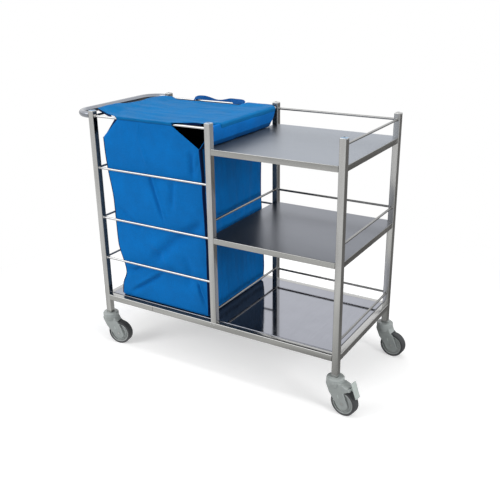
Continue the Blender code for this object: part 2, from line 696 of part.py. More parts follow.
def wheel_mesh():
    """Moulded wheel with a hub, a sunk web and a rim under the tyre."""
    rim = WHEEL_RADIUS - TYRE_DEPTH - SEAT_GAP
    half = TYRE_WIDTH / 2 - WHEEL_SETBACK
    web = half - WEB_SINK
    rim_inside = rim - RIM_WALL
    side = [(AXLE_RADIUS + AXLE_CLEARANCE, half), (HUB_RADIUS, half), (HUB_RADIUS + MOULD_DRAFT, web),
            (rim_inside - MOULD_DRAFT, web), (rim_inside, half), (rim, half - TYRE_LIP)]
    profile = side + [(radius, -height) for radius, height in reversed(side)]
    return turned_mesh(profile, WHEEL_SIDES, "caster_wheel", axis="Y", closed=True, phase=pi / WHEEL_SIDES)


def tyre_mesh():
    """Tyre ring; its tread is widened so that the flats of its outline touch the floor."""
    flat = 1 / cos(pi / WHEEL_SIDES)
    half = TYRE_WIDTH / 2
    depth, width = TYRE_SHOULDER
    side = [(WHEEL_RADIUS - TYRE_DEPTH, half - TYRE_LIP)]
    side += arc((WHEEL_RADIUS - depth, half - width), (depth, width), 90, 0, 2)
    profile = [(radius * flat, height) for radius, height in side]
    profile += [(radius, -height) for radius, height in reversed(profile)]
    return turned_mesh(profile, WHEEL_SIDES, "caster_tyre", axis="Y", closed=True, phase=pi / WHEEL_SIDES)


def pedal_mesh():
    """Brake pedal about its own pivot: barrel with pin ends, arm and broad paddle."""
    top, foot = Vector(PEDAL_TOP), Vector(PEDAL_FOOT)
    run = (foot - top).normalized()
    normal = Vector((-run.y, run.x))
    back = normal * PEDAL_THICKNESS / 2
    paddle = prism_mesh([tuple(p) for p in (top - back, foot - back, foot + run * PADDLE_ROUND, foot + back,
                                            top + back, top - run * PADDLE_ROUND)], PEDAL_WIDTH / 2, "paddle")
    middle = top.lerp(foot, 0.5)
    arm_half = CHEEK_OUTSIDE - EAR_THICKNESS - PEDAL_CLEARANCE
    arm_root = PEDAL_BARREL - PEDAL_CLEARANCE
    above, below = PEDAL_ARM_SPAN
    arm = prism_mesh([(0.0, -arm_root), tuple(middle + run * below), tuple(middle - run * above),
                      (0.0, arm_root)], arm_half, "arm")
    barrel = turned_mesh([(PEDAL_BARREL, -arm_half), (PEDAL_BARREL, arm_half)], PIN_SIDES, "barrel", axis="Y")
    pin = turned_mesh([(PEDAL_PIN_RADIUS, -CHEEK_OUTSIDE), (PEDAL_PIN_RADIUS, CHEEK_OUTSIDE)], PIN_SIDES,
                      "pin", axis="Y")
    return combine(paddle, [("UNION", arm), ("UNION", barrel), ("UNION", pin)], "brake_pedal")


def add_casters(materials):
    plastic = materials["caster_plastic"]
    housings = {braked: housing_mesh(braked) for braked in (False, True)}
    stem, wheel, tyre = stem_mesh(), wheel_mesh(), tyre_mesh()
    axle = turned_mesh([(AXLE_RADIUS, -CHEEK_OUTSIDE), (AXLE_RADIUS, CHEEK_OUTSIDE)], PIN_SIDES,
                       "caster_axle", axis="Y")
    pedal = pedal_mesh()
    for corner, (side, row, heading, braked) in CASTERS.items():
        place = (POST_X[side], POST_Y[row], 0.0)
        add_node(f"caster_{corner}_stem", stem, materials["bolt_steel"], matrix=Matrix.Translation(place))
        swivel = add_empty(f"caster_{corner}_swivel", place, turn=radians(heading))
        spin = add_empty(f"caster_{corner}_spin", (WHEEL_TRAIL, 0.0, WHEEL_RADIUS), parent=swivel)
        add_node(f"caster_{corner}_housing", housings[braked], plastic, parent=swivel)
        add_node(f"caster_{corner}_axle", axle, materials["bolt_steel"], parent=swivel,
                 matrix=Matrix.Translation((WHEEL_TRAIL, 0.0, WHEEL_RADIUS)))
        add_node(f"caster_{corner}_wheel", wheel, plastic, parent=spin)
        add_node(f"caster_{corner}_tyre", tyre, materials["tyre_rubber"], parent=spin)
        if braked:
            pivot = add_empty(f"caster_{corner}_pivot", (PEDAL_PIVOT_OUT, 0.0, PEDAL_PIVOT_Z), parent=swivel)
            add_node(f"caster_{corner}_pedal", pedal, materials["pedal_plastic"], parent=pivot)


clear_scene()
materials = make_materials()
add_posts(materials)
add_rails(materials)
add_shelves(materials)
add_bars(materials)
add_handle(materials)
add_bag(materials)
add_lid(materials)
add_casters(materials)
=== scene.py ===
"""Looks of the linen trolley: a welded stainless frame with a hanging blue bag and three shelves.

Sections follow the trolley as it is put together, from the posts down to the casters.
All sizes are in metres; X runs away from the push handle, Y to the rear, Z up.
"""

import json
from math import atan2, copysign, cos, exp, hypot, pi, radians, sin, sqrt

import bmesh
import bpy
from mathutils import Matrix, Vector, noise


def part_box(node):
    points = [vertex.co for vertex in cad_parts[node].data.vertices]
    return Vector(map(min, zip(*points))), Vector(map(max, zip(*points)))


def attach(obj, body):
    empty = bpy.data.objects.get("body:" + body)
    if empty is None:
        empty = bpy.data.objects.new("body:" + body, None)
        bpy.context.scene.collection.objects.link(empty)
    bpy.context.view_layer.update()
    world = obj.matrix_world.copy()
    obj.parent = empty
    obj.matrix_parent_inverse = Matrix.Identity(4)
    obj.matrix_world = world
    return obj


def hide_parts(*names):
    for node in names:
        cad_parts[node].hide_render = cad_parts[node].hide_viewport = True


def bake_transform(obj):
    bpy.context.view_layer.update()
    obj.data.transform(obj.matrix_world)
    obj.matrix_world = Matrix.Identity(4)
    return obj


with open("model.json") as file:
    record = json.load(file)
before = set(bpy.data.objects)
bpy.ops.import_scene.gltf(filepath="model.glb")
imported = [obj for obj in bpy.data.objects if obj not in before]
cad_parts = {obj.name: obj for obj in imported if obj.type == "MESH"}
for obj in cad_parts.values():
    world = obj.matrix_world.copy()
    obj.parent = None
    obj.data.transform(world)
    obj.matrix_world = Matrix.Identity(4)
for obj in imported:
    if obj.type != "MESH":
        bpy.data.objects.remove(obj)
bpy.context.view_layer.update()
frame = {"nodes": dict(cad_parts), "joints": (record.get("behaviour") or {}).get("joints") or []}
scene = bpy.context.scene
scene.view_settings.view_transform = "Standard"


# Camera
# It stands in front of the right end, a little above the trolley, with a normal lens.

camera = bpy.data.objects.new("camera", bpy.data.cameras.new("camera"))
scene.collection.objects.link(camera)
camera.data.sensor_fit = "HORIZONTAL"
camera.data.sensor_width = 36.0
camera.data.lens = 50.37
camera.location = (1.4057, -2.2655, 1.4814)
camera.rotation_euler = (radians(68.6997), radians(0.6876), radians(31.0273))
scene.camera = camera


# Studio
# A white floor that keeps a soft shadow, a white surround and three large soft lamps. Metal sees a pale
# room with one bright panel at the front left, and a floor that turns grey towards the rear right.

FLOOR_SIZE = 16.0
FLOOR_GLOW = 0.38
FLOOR_SHADOW_TONE = 0.80
FLOOR_BOUNCE = 0.50
AMBIENT_TONE = 0.47
SHADOW_REACH = (0.95, 1.60)
REAR_WALL_WAY = (0.55, 0.83, 0.0)
ROOM_REACH = (-1.3, 0.8)
ROOM_TONES = ((0.0, (1.0, 1.0, 1.0)), (0.27, (1.0, 1.0, 0.98)), (0.50, (0.55, 0.55, 0.539)),
              (0.75, (0.30, 0.30, 0.294)), (1.0, (0.22, 0.215, 0.21)))
ROOM_PATCHES = (0.72, 1.12)
SKY_TONES = ((0.0, (0.62, 0.62, 0.62)), (0.20, (1.20, 1.20, 1.20)), (0.36, (1.28, 1.28, 1.30)),
             (1.0, (1.0, 1.0, 1.0)))
PANEL_WAY = (-0.50, -0.55, 0.67)
PANEL_EDGE = (0.90, 0.96)
PANEL_GLOW = 2.4


def wire(tree, kind, sockets=None, **properties):
    """Add a node, set its properties, and fill or link its input sockets."""
    made = tree.nodes.new(kind)
    for name, value in properties.items():
        setattr(made, name, value)
    for key, value in (sockets or {}).items():
        if isinstance(value, bpy.types.NodeSocket):
            tree.links.new(value, made.inputs[key])
        else:
            made.inputs[key].default_value = value
    return made


def empty_material(name):
    """New material with an empty tree, and the socket that takes its surface."""
    material = bpy.data.materials.new(name)
    material.use_nodes = True
    material.node_tree.nodes.clear()
    output = wire(material.node_tree, "ShaderNodeOutputMaterial")
    return material, material.node_tree, output.inputs["Surface"]


def spread(tree, value, low, high, to_low, to_high, way="SMOOTHSTEP"):
    """Map a value from one range to another, smoothly unless another way is named."""
    return wire(tree, "ShaderNodeMapRange", {"Value": value, "From Min": low, "From Max": high,
                                             "To Min": to_low, "To Max": to_high},
                interpolation_type=way).outputs["Result"]


def noise_of(tree, vector, scale, detail, roughness=0.5):
    """Value of a noise at a vector."""
    return wire(tree, "ShaderNodeTexNoise", {"Vector": vector, "Scale": scale, "Detail": detail,
                                             "Roughness": roughness}).outputs["Fac"]


def ramp_of(tree, value, stops):
    """Colour at a value between stops, of which the first is at 0 and the last at 1."""
    ramp = wire(tree, "ShaderNodeValToRGB", {0: value})
    elements = ramp.color_ramp.elements
    for place, tone in stops:
        stop = elements.new(place) if 0.0 < place < 1.0 else elements[0 if place == 0.0 else -1]
        stop.color = (*tone, 1.0)
    return ramp.outputs["Color"]


def mix_of(tree, share, first, second):
    """Shader that goes from one to another by a share."""
    return wire(tree, "ShaderNodeMixShader", {0: share, 1: first, 2: second}).outputs[0]


floor_white, tree, output = empty_material("studio_floor")
path = wire(tree, "ShaderNodeLightPath").outputs
place = wire(tree, "ShaderNodeTexCoord").outputs["Object"]
behind = wire(tree, "ShaderNodeVectorMath", {0: place, 1: REAR_WALL_WAY}, operation="DOT_PRODUCT")
room = ramp_of(tree, spread(tree, behind.outputs["Value"], *ROOM_REACH, 0.0, 1.0, "LINEAR"), ROOM_TONES)
patches = spread(tree, noise_of(tree, place, 1.6, 1.0), 0.35, 0.65, *ROOM_PATCHES, "LINEAR")
mirrored = wire(tree, "ShaderNodeEmission", {"Color": room, "Strength": patches}).outputs[0]
glow = wire(tree, "ShaderNodeEmission", {"Strength": FLOOR_GLOW}).outputs[0]
shade = wire(tree, "ShaderNodeBsdfDiffuse", {"Color": (FLOOR_SHADOW_TONE,) * 3 + (1.0,)}).outputs[0]
near = wire(tree, "ShaderNodeAddShader", {0: glow, 1: shade}).outputs[0]
clear = wire(tree, "ShaderNodeEmission", {"Strength": 1.0}).outputs[0]
radius = wire(tree, "ShaderNodeVectorMath", {0: place}, operation="LENGTH").outputs["Value"]
seen = mix_of(tree, spread(tree, radius, *SHADOW_REACH, 0.0, 1.0), near, clear)
bounce = wire(tree, "ShaderNodeBsdfDiffuse", {"Color": (FLOOR_BOUNCE,) * 3 + (1.0,)}).outputs[0]
lit = mix_of(tree, path["Is Glossy Ray"], bounce, mirrored)
tree.links.new(mix_of(tree, path["Is Camera Ray"], lit, seen), output)

floor_mesh = bpy.data.meshes.new("studio_floor")
half = FLOOR_SIZE / 2
floor_mesh.from_pydata([(-half, -half, 0), (half, -half, 0), (half, half, 0), (-half, half, 0)], [],
                       [(0, 1, 2, 3)])
floor_mesh.materials.append(floor_white)
floor = bpy.data.objects.new("studio_floor", floor_mesh)
scene.collection.objects.link(floor)

world = bpy.data.worlds.new("studio")
world.use_nodes = True
scene.world = world
tree = world.node_tree
tree.nodes.clear()
path = wire(tree, "ShaderNodeLightPath").outputs
way = wire(tree, "ShaderNodeTexCoord").outputs["Generated"]
sky = ramp_of(tree, wire(tree, "ShaderNodeSeparateXYZ", {0: way}).outputs["Z"], SKY_TONES)
to_panel = wire(tree, "ShaderNodeVectorMath", {0: way, 1: PANEL_WAY}, operation="DOT_PRODUCT")
panel = spread(tree, to_panel.outputs["Value"], *PANEL_EDGE, 1.0, PANEL_GLOW)
mirrored = wire(tree, "ShaderNodeBackground", {"Color": sky, "Strength": panel}).outputs[0]
ambient = wire(tree, "ShaderNodeBackground", {"Color": (AMBIENT_TONE,) * 3 + (1.0,)}).outputs[0]
white = wire(tree, "ShaderNodeBackground", {"Color": (1.0, 1.0, 1.0, 1.0)}).outputs[0]
lit = mix_of(tree, path["Is Glossy Ray"], ambient, mirrored)
final = mix_of(tree, path["Is Camera Ray"], lit, white)
tree.links.new(final, wire(tree, "ShaderNodeOutputWorld").inputs["Surface"])


def add_lamp(name, place, target, size, watts):
    """Square soft lamp that points at a target."""
    lamp = bpy.data.lights.new(name, "AREA")
    lamp.size = size
    lamp.energy = watts
    obj = bpy.data.objects.new(name, lamp)
    obj.location = place
    obj.rotation_euler = (Vector(target) - Vector(place)).to_track_quat("-Z", "Y").to_euler()
    obj.visible_glossy = False
    scene.collection.objects.link(obj)


add_lamp("key", (-2.6, -3.0, 1.9), (0.0, 0.0, 0.5), 2.0, 92.0)
add_lamp("top", (0.0, 0.0, 3.5), (0.0, 0.0, 0.5), 1.2, 46.0)
add_lamp("right", (3.2, -0.8, 1.5), (0.0, 0.0, 0.6), 1.4, 55.0)


# Posts
# Six uprights of 25 mm square stainless tube, polished along their length. Each is closed at the top
# by a pressed domed cap, welded on and ground flush; the corner posts are open below for the casters.

POST_SIZE = 0.025
POST_WALL = 0.0015
POST_CORNER = 0.0028
CAP_RISE = 0.0046
CAP_LEVELS = 8
CAP_SPREAD, CAP_ROUND = 0.42, 0.30
CAP_SEAM = 0.0005
CAP_TURN = 0.75
EASED = 0.0003
STEEL_TONE = (0.49, 0.49, 0.48)
ANY_WAY = (300.0, 300.0, 300.0)
FINISH_OUTPUTS = (("Color", "Color"), ("Roughness", "Float"), ("Normal", "Vector"))


def new_tree(name, kind, inputs, outputs):
    """Node group with named sockets; returns it with what it is given and what it hands over."""
    group = bpy.data.node_groups.new(name, kind)
    for socket, socket_kind, value in inputs:
        made = group.interface.new_socket(name=socket, in_out="INPUT", socket_type=f"NodeSocket{socket_kind}")
        if value is not None:
            made.default_value = value
    for socket, socket_kind in outputs:
        group.interface.new_socket(name=socket, in_out="OUTPUT", socket_type=f"NodeSocket{socket_kind}")
    return group, wire(group, "NodeGroupInput").outputs, wire(group, "NodeGroupOutput").inputs


def math_of(tree, operation, first, second=0.0):
    """Value of an operation on one or two values."""
    return wire(tree, "ShaderNodeMath", {0: first, 1: second}, operation=operation).outputs[0]


def scaled(tree, colour, share):
    """Colour made brighter or darker by a share."""
    return wire(tree, "ShaderNodeVectorMath", {0: colour, "Scale": share}, operation="SCALE").outputs[0]


def bump_of(tree, strength, distance, height, normal=None):
    """Normal of a relief, laid over another one if there is one."""
    sockets = {"Strength": strength, "Distance": distance, "Height": height}
    if normal is not None:
        sockets["Normal"] = normal
    return wire(tree, "ShaderNodeBump", sockets).outputs["Normal"]


def hand_over(tree, result, colour, roughness, normal):
    """Outputs of a shared finish."""
    for name, value in (("Color", colour), ("Roughness", roughness), ("Normal", normal)):
        tree.links.new(value, result[name])


def lay_surface(tree, output, finish, more):
    """Surface with a finish's colour, roughness and normal, and what else it has."""
    skin = wire(tree, "ShaderNodeBsdfPrincipled", {
        "Base Color": finish["Color"], "Roughness": finish["Roughness"], "Normal": finish["Normal"], **more})
    tree.links.new(skin.outputs[0], output)


polished_grain, given, result = new_tree(
    "polished_grain", "ShaderNodeTree",
    (("Vector", "Vector", None), ("Tone", "Color", (0.5, 0.5, 0.5, 1.0)),
     ("Lay", "Vector", (900.0, 900.0, 12.0)), ("Roughness", "Float", 0.2), ("Grain", "Float", 0.1),
     ("Ripple", "Float", 0.1), ("Ripple Size", "Float", 9.0)), FINISH_OUTPUTS)
along_lay = wire(polished_grain, "ShaderNodeVectorMath", {0: given["Vector"], 1: given["Lay"]},
                 operation="MULTIPLY")
lines = noise_of(polished_grain, along_lay.outputs[0], 1.0, 3.0)
smears = noise_of(polished_grain, given["Vector"], 14.0, 5.0, 0.62)
waves = noise_of(polished_grain, given["Vector"], given["Ripple Size"], 1.0)
tone = math_of(polished_grain, "MULTIPLY", spread(polished_grain, lines, 0.30, 0.70, 0.955, 1.04),
               spread(polished_grain, smears, 0.35, 0.70, 0.975, 1.02))
gloss = math_of(polished_grain, "ADD", given["Roughness"],
                spread(polished_grain, smears, 0.35, 0.70, -0.012, 0.018))
ripple = bump_of(polished_grain, given["Ripple"], 0.004, waves)
grain = bump_of(polished_grain, given["Grain"], 0.0002, lines, ripple)
hand_over(polished_grain, result, scaled(polished_grain, given["Tone"], tone), gloss, grain)


def steel_finish(name, tone, lay, roughness, grain, ripple, ripple_size=9.0):
    """Stainless steel with its polishing lines along one way."""
    material, tree, output = empty_material(name)
    place = wire(tree, "ShaderNodeTexCoord").outputs["Object"]
    finish = wire(tree, "ShaderNodeGroup", {
        "Vector": place, "Tone": (*tone, 1.0), "Lay": lay, "Roughness": roughness, "Grain": grain,
        "Ripple": ripple, "Ripple Size": ripple_size}, node_tree=polished_grain)
    lay_surface(tree, output, finish.outputs, {"Metallic": 1.0})
    return material


def join_rings(points, faces, rings, closed=False, first_cap=False, last_cap=False):
    """Add equal rings to a piece's points and faces, with quads between neighbours."""
    count = len(rings[0])
    base = len(points)
    for ring in rings:
        points.extend(ring)
    for level in range(len(rings) if closed else len(rings) - 1):
        low = base + level * count
        high = base + (level + 1) % len(rings) * count
        for i in range(count):
            j = (i + 1) % count
            faces.append((low + i, low + j, high + j, high + i))
    if first_cap:
        faces.append(tuple(range(base + count - 1, base - 1, -1)))
    if last_cap:
        top = base + (len(rings) - 1) * count
        faces.append(tuple(range(top, top + count)))


def finished_mesh(name, points, faces, crease=38.0):
    """Mesh from points and faces, with outward faces and edges sharp past an angle."""
    mesh = bpy.data.meshes.new(name)
    mesh.from_pydata(points, [], faces)
    bm = bmesh.new()
    bm.from_mesh(mesh)
    bmesh.ops.recalc_face_normals(bm, faces=bm.faces)
    bm.to_mesh(mesh)
    bm.free()
    mesh.shade_smooth()
    mesh.set_sharp_from_angle(angle=radians(crease))
    return mesh


def fit_piece(name, mesh, material, body, slot, *nodes):
    """Link a finished piece, give it its material and body, and let it stand for CAD nodes."""
    piece = bpy.data.objects.new(name, mesh)
    scene.collection.objects.link(piece)
    if not mesh.materials:
        mesh.materials.append(material)
    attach(piece, body)
    if nodes:
        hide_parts(*nodes)
    return piece


def rounded_square(centre, size, corner, z, steps=4):
    """Ring of a square with round corners, lying at a height."""
    reach = size / 2 - corner
    ring = []
    for quarter in range(4):
        cx = centre[0] + reach * (1 if quarter in (0, 3) else -1)
        cy = centre[1] + reach * (1 if quarter in (0, 1) else -1)
        for i in range(steps + 1):
            angle = (quarter + i / steps) * pi / 2
            ring.append((cx + corner * cos(angle), cy + corner * sin(angle), z))
    return ring


post_steel = steel_finish("post_steel", STEEL_TONE, (950.0, 950.0, 14.0), 0.20, 0.10, 0.06, 14.0)
post_nodes = [f"post_{row}_{side}" for row in ("front", "rear") for side in ("left", "middle", "right")]
points, faces = [], []
for post in post_nodes:
    low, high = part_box(post)
    centre = ((low.x + high.x) / 2, (low.y + high.y) / 2)
    shoulder = high.z - CAP_RISE
    inside = POST_SIZE - 2 * POST_WALL
    rings = [rounded_square(centre, inside, POST_CORNER - POST_WALL, z)
             for z in (shoulder - POST_WALL, low.z)]
    rings += [rounded_square(centre, POST_SIZE - 2 * inset, POST_CORNER, z) for inset, z in (
        (EASED, low.z), (0.0, low.z + EASED), (0.0, shoulder - 0.0016), (CAP_SEAM, shoulder - 0.0011),
        (CAP_SEAM, shoulder - 0.0008), (0.0, shoulder - 0.0003), (0.0, shoulder))]
    for level in range(1, CAP_LEVELS):
        bow = sin(level / CAP_LEVELS * pi / 2)
        inset = POST_SIZE * CAP_SPREAD * (1 - sqrt(1 - bow * bow))
        rings.append(rounded_square(centre, POST_SIZE - 2 * inset, POST_CORNER + inset * CAP_ROUND,
                                    shoulder + CAP_RISE * bow))
    join_rings(points, faces, rings, first_cap=True, last_cap=True)
# The tops of the three front caps are painted a pale blue tone, bluer than the tube below them: a painted
# reflection of the sky
cap_steel = steel_finish("cap_steel", (0.27, 0.385, 0.52), ANY_WAY, 0.24, 0.08, 0.06, 14.0)
mesh = finished_mesh("posts", points, faces)
mesh.materials.append(post_steel)
mesh.materials.append(cap_steel)
for face in mesh.polygons:
    face.material_index = int(face.normal.z > CAP_TURN and face.center.y < 0)
fit_piece("posts", mesh, post_steel, "frame", "frame_steel", *post_nodes)


# Lower rails
# Four lengths of the same square tube, welded between the feet of the corner posts. The front one shows
# a cross weld where two lengths meet, and two tack welds at the foot of the middle post.

TACK_WELDS = ((0.0001, 0.2185), (0.0165, 0.2180))
TACK_RADIUS, TACK_RISE = 0.0017, 0.0013
CROSS_WELD_X = -0.2877
CROSS_WELD_DOTS, CROSS_WELD_PITCH = 15, 0.00143
CROSS_RADIUS, CROSS_RISE = 0.00125, 0.0009
WELD_SINK = 0.0004
RAIL_TONE = (0.42, 0.42, 0.41)


def shaped_by(tree, name, base_mesh, **values):
    """Run a tree on a base mesh and return the plain mesh that it makes."""
    carrier = bpy.data.objects.new(name, base_mesh)
    scene.collection.objects.link(carrier)
    shaping = carrier.modifiers.new("shape", "NODES")
    shaping.node_group = tree
    for item in tree.interface.items_tree:
        key = item.name.replace(" ", "_").lower()
        if item.item_type == "SOCKET" and item.in_out == "INPUT" and key in values:
            shaping[item.identifier] = values[key]
    depsgraph = bpy.context.evaluated_depsgraph_get()
    mesh = bpy.data.meshes.new_from_object(carrier.evaluated_get(depsgraph))
    carrier.modifiers.clear()
    bpy.data.objects.remove(carrier)
    mesh.name = name
    mesh.set_sharp_from_angle(angle=radians(38))
    return mesh


def line_mesh(name, runs, welded=False):
    """Mesh of loose lines; welded ones carry a weld and the way it faces at both ends."""
    points, edges, welds, ways = [], [], [], []
    for run in runs:
        base = len(points)
        points += [tuple(point) for point in run]
        edges += [(base + i, base + i + 1) for i in range(len(run) - 1)]
        for i in range(len(run)):
            at_end = welded and i in (0, len(run) - 1)
            welds.append(at_end)
            nearer = run[1] if i == 0 else run[-2]
            ways.append((Vector(nearer) - Vector(run[i])).normalized() if at_end else Vector((0, 0, 1)))
    mesh = bpy.data.meshes.new(name)
    mesh.from_pydata(points, edges, [])
    weld = mesh.attributes.new("weld", "BOOLEAN", "POINT")
    weld.data.foreach_set("value", welds)
    way = mesh.attributes.new("way", "FLOAT_VECTOR", "POINT")
    way.data.foreach_set("vector", [value for vector in ways for value in vector])
    return mesh


def bar_run(node):
    """Ends of a straight bar, from the box of its CAD node."""
    low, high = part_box(node)
    axis = max(range(3), key=lambda k: high[k] - low[k])
    start, end = (low + high) / 2, (low + high) / 2
    start[axis], end[axis] = low[axis], high[axis]
    return start, end


def drawn_out(tree, given, profile):
    """Tube with a profile along the lines of the base mesh, closed at its ends."""
    runs = wire(tree, "GeometryNodeMeshToCurve", {"Mesh": given["Geometry"]})
    return wire(tree, "GeometryNodeCurveToMesh", {"Curve": runs.outputs[0], "Profile Curve": profile,
                                                  "Fill Caps": True}).outputs[0]


def close_shape(tree, given, result, geometry, smooth=True):
    """End of a shaping tree: smooth shading, real geometry and its material."""
    if smooth:
        geometry = wire(tree, "GeometryNodeSetShadeSmooth", {"Geometry": geometry}).outputs[0]
    real = wire(tree, "GeometryNodeRealizeInstances", {"Geometry": geometry})
    coated = wire(tree, "GeometryNodeSetMaterial", {"Geometry": real.outputs[0],
                                                    "Material": given["Material"]})
    tree.links.new(coated.outputs[0], result[0])


square_tube, given, result = new_tree(
    "square_tube", "GeometryNodeTree",
    (("Geometry", "Geometry", None), ("Size", "Float", 0.025), ("Corner", "Float", 0.0028),
     ("Corner Steps", "Int", 4), ("Material", "Material", None)), (("Geometry", "Geometry"),))
square = wire(square_tube, "GeometryNodeCurvePrimitiveQuadrilateral",
              {"Width": given["Size"], "Height": given["Size"]})
rounded = wire(square_tube, "GeometryNodeFilletCurve",
               {"Curve": square.outputs[0], "Count": given["Corner Steps"], "Radius": given["Corner"]},
               mode="POLY")
close_shape(square_tube, given, result, drawn_out(square_tube, given, rounded.outputs[0]))

for steel_name, sides, lay in (("rail_steel", ("front", "rear"), (14.0, 950.0, 950.0)),
                               ("side_rail_steel", ("left", "right"), (950.0, 14.0, 950.0))):
    nodes = [f"rail_{side}" for side in sides]
    name = "_and_".join(sides) + "_rails"
    steel = steel_finish(steel_name, RAIL_TONE, lay, 0.20, 0.10, 0.06, 14.0)
    mesh = shaped_by(square_tube, name, line_mesh(name, [bar_run(node) for node in nodes]), size=POST_SIZE,
                     corner=POST_CORNER, corner_steps=4, material=steel)
    fit_piece(name, mesh, steel, "frame", "frame_steel", *nodes)


def fit_domes(name, centres, radius, rise, sides, way, across, material, slot):
    """Small domes on upright faces that look one way."""
    points, faces = [], []
    for centre in centres:
        rings = []
        for level in range(4):
            lift = Vector(way) * rise * sin(level / 4 * pi / 2)
            reach = radius * cos(level / 4 * pi / 2)
            rings.append([Vector(centre) + lift + Vector(across) * reach * cos(2 * pi * i / sides)
                          + Vector((0, 0, reach * sin(2 * pi * i / sides))) for i in range(sides)])
        join_rings(points, faces, rings, first_cap=True, last_cap=True)
    fit_piece(name, finished_mesh(name, points, faces), material, "frame", slot)


weld_steel = steel_finish("weld_steel", (0.60, 0.61, 0.62), ANY_WAY, 0.32, 0.25, 0.25, 60.0)
burnt_steel = steel_finish("burnt_steel", (0.16, 0.15, 0.145), ANY_WAY, 0.45, 0.25, 0.25, 60.0)
low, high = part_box("rail_front")
tacks = [(x, low.y + WELD_SINK, z) for x, z in TACK_WELDS]
fit_domes("tack_welds", tacks, TACK_RADIUS, TACK_RISE, 10, (0, -1, 0), (1, 0, 0), weld_steel, "frame_steel")
dots = [(CROSS_WELD_X, low.y + WELD_SINK, low.z + 0.0025 + i * CROSS_WELD_PITCH)
        for i in range(CROSS_WELD_DOTS)]
fit_domes("cross_weld", dots, CROSS_RADIUS, CROSS_RISE, 10, (0, -1, 0), (1, 0, 0), burnt_steel,
          "frame_steel")


# Bottom tray and shelves
# Sheets of 1.2 mm stainless with their edges folded down. The tray is mirror polished and lies between
# the rails; the two shelves have a satin face and square notches round the posts.

SHEET_WALL = 0.0012
SHEET_FOLD = 0.0022
SHEET_FLAT = 0.0008
NOTCH_CORNER = 0.0015
SHELF_NOTCH = POST_SIZE - 0.0027
LIP_TURN = 0.7
SHEET_CREASE = 50.0


def softened(outline, radius, steps=2):
    """Outline with each corner, turning either way, cut to a small arc."""
    soft = []
    for i, corner in enumerate(outline):
        before = (Vector(outline[i - 1]) - Vector(corner)).normalized()
        after = (Vector(outline[(i + 1) % len(outline)]) - Vector(corner)).normalized()
        start, end = Vector(corner) + before * radius, Vector(corner) + after * radius
        for k in range(steps + 1):
            t = k / steps
            soft.append(tuple(start * (1 - t) ** 2 + Vector(corner) * 2 * t * (1 - t) + end * t * t))
    return soft


def folded_sheet(points, faces, low, high, notch):
    """Sheet whose edges turn down over a small radius, with square notches at its corners."""
    top = high.z

    def ring(inset, z):
        x0, x1, y0, y1 = low.x + inset, high.x - inset, low.y + inset, high.y - inset
        outline = [(x0, y0), (x1, y0), (x1, y1), (x0, y1)]
        if notch:
            outline = [(x0 + notch, y0), (x1 - notch, y0), (x1 - notch, y0 + notch), (x1, y0 + notch),
                       (x1, y1 - notch), (x1 - notch, y1 - notch), (x1 - notch, y1), (x0 + notch, y1),
                       (x0 + notch, y1 - notch), (x0, y1 - notch), (x0, y0 + notch), (x0 + notch, y0 + notch)]
        return [(x, y, z) for x, y in softened(outline, NOTCH_CORNER)]

    rings = [ring(SHEET_WALL + SHEET_FOLD, top - SHEET_WALL), ring(SHEET_WALL, top - SHEET_WALL - SHEET_FOLD),
             ring(SHEET_WALL, low.z + 0.0003), ring(SHEET_WALL / 2, low.z), ring(0.0, low.z + 0.0003)]
    for step in range(5):
        angle = step / 4 * pi / 2
        rings.append(ring(SHEET_FOLD * (1 - cos(angle)), top - SHEET_FOLD * (1 - sin(angle))))
    rings.append(ring(SHEET_FOLD + SHEET_FLAT, top))
    join_rings(points, faces, rings, first_cap=True, last_cap=True)


mirror_steel = steel_finish("mirror_steel", (0.300, 0.310, 0.345), (700.0, 9.0, 700.0), 0.07, 0.02,
                            0.006, 5.0)
points, faces = [], []
folded_sheet(points, faces, *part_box("tray_bottom"), 0.0)
fit_piece("bottom_tray", finished_mesh("bottom_tray", points, faces, SHEET_CREASE), mirror_steel, "frame",
          "tray_steel", "tray_bottom")

lip_steel = steel_finish("lip_steel", (0.40, 0.40, 0.385), (9.0, 900.0, 900.0), 0.22, 0.10, 0.03, 8.0)
# The shelf faces are one satin sheet in two tones: the middle one is painted darker, a painted shade for what
# it reflects from above, and both are tinted blue, a painted reflection
for shelf, tone, roughness in (("shelf_middle", (0.170, 0.182, 0.210), 0.30),
                               ("shelf_top", (0.305, 0.335, 0.380), 0.37)):
    face_steel = steel_finish(f"{shelf}_steel", tone, (9.0, 900.0, 900.0), roughness, 0.10, 0.02, 5.0)
    points, faces = [], []
    folded_sheet(points, faces, *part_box(shelf), SHELF_NOTCH)
    mesh = finished_mesh(shelf, points, faces, SHEET_CREASE)
    mesh.materials.append(face_steel)
    mesh.materials.append(lip_steel)
    for face in mesh.polygons:
        face.material_index = int(abs(face.normal.z) < LIP_TURN)
    fit_piece(f"{shelf}_sheet", mesh, face_steel, "frame", "shelf_steel", shelf)


# Round bars
# Twenty-one lengths of 9 mm polished bar: four levels round the bag bay, and guards round the shelves.
# Each is welded to the post faces, with a small fillet of weld at its end.

BAR_RADIUS = 0.0045
BEAD_RADIUS, BEAD_DEPTH = 0.0063, 0.42
BAR_LAY = (140.0, 140.0, 140.0)

round_bar, given, result = new_tree(
    "round_bar", "GeometryNodeTree",
    (("Geometry", "Geometry", None), ("Radius", "Float", 0.0045), ("Sides", "Int", 24),
     ("Bead Radius", "Float", 0.006), ("Bead Depth", "Float", 0.4), ("Material", "Material", None)),
    (("Geometry", "Geometry"),))
circle = wire(round_bar, "GeometryNodeCurvePrimitiveCircle",
              {"Resolution": given["Sides"], "Radius": given["Radius"]}, mode="RADIUS")
bar = drawn_out(round_bar, given, circle.outputs[0])


def named_value(tree, name, data_type):
    """Output of a node that reads an attribute of the base mesh."""
    reader = wire(tree, "GeometryNodeInputNamedAttribute", {"Name": name}, data_type=data_type)
    return next(socket for socket in reader.outputs if socket.enabled and socket.name == "Attribute")


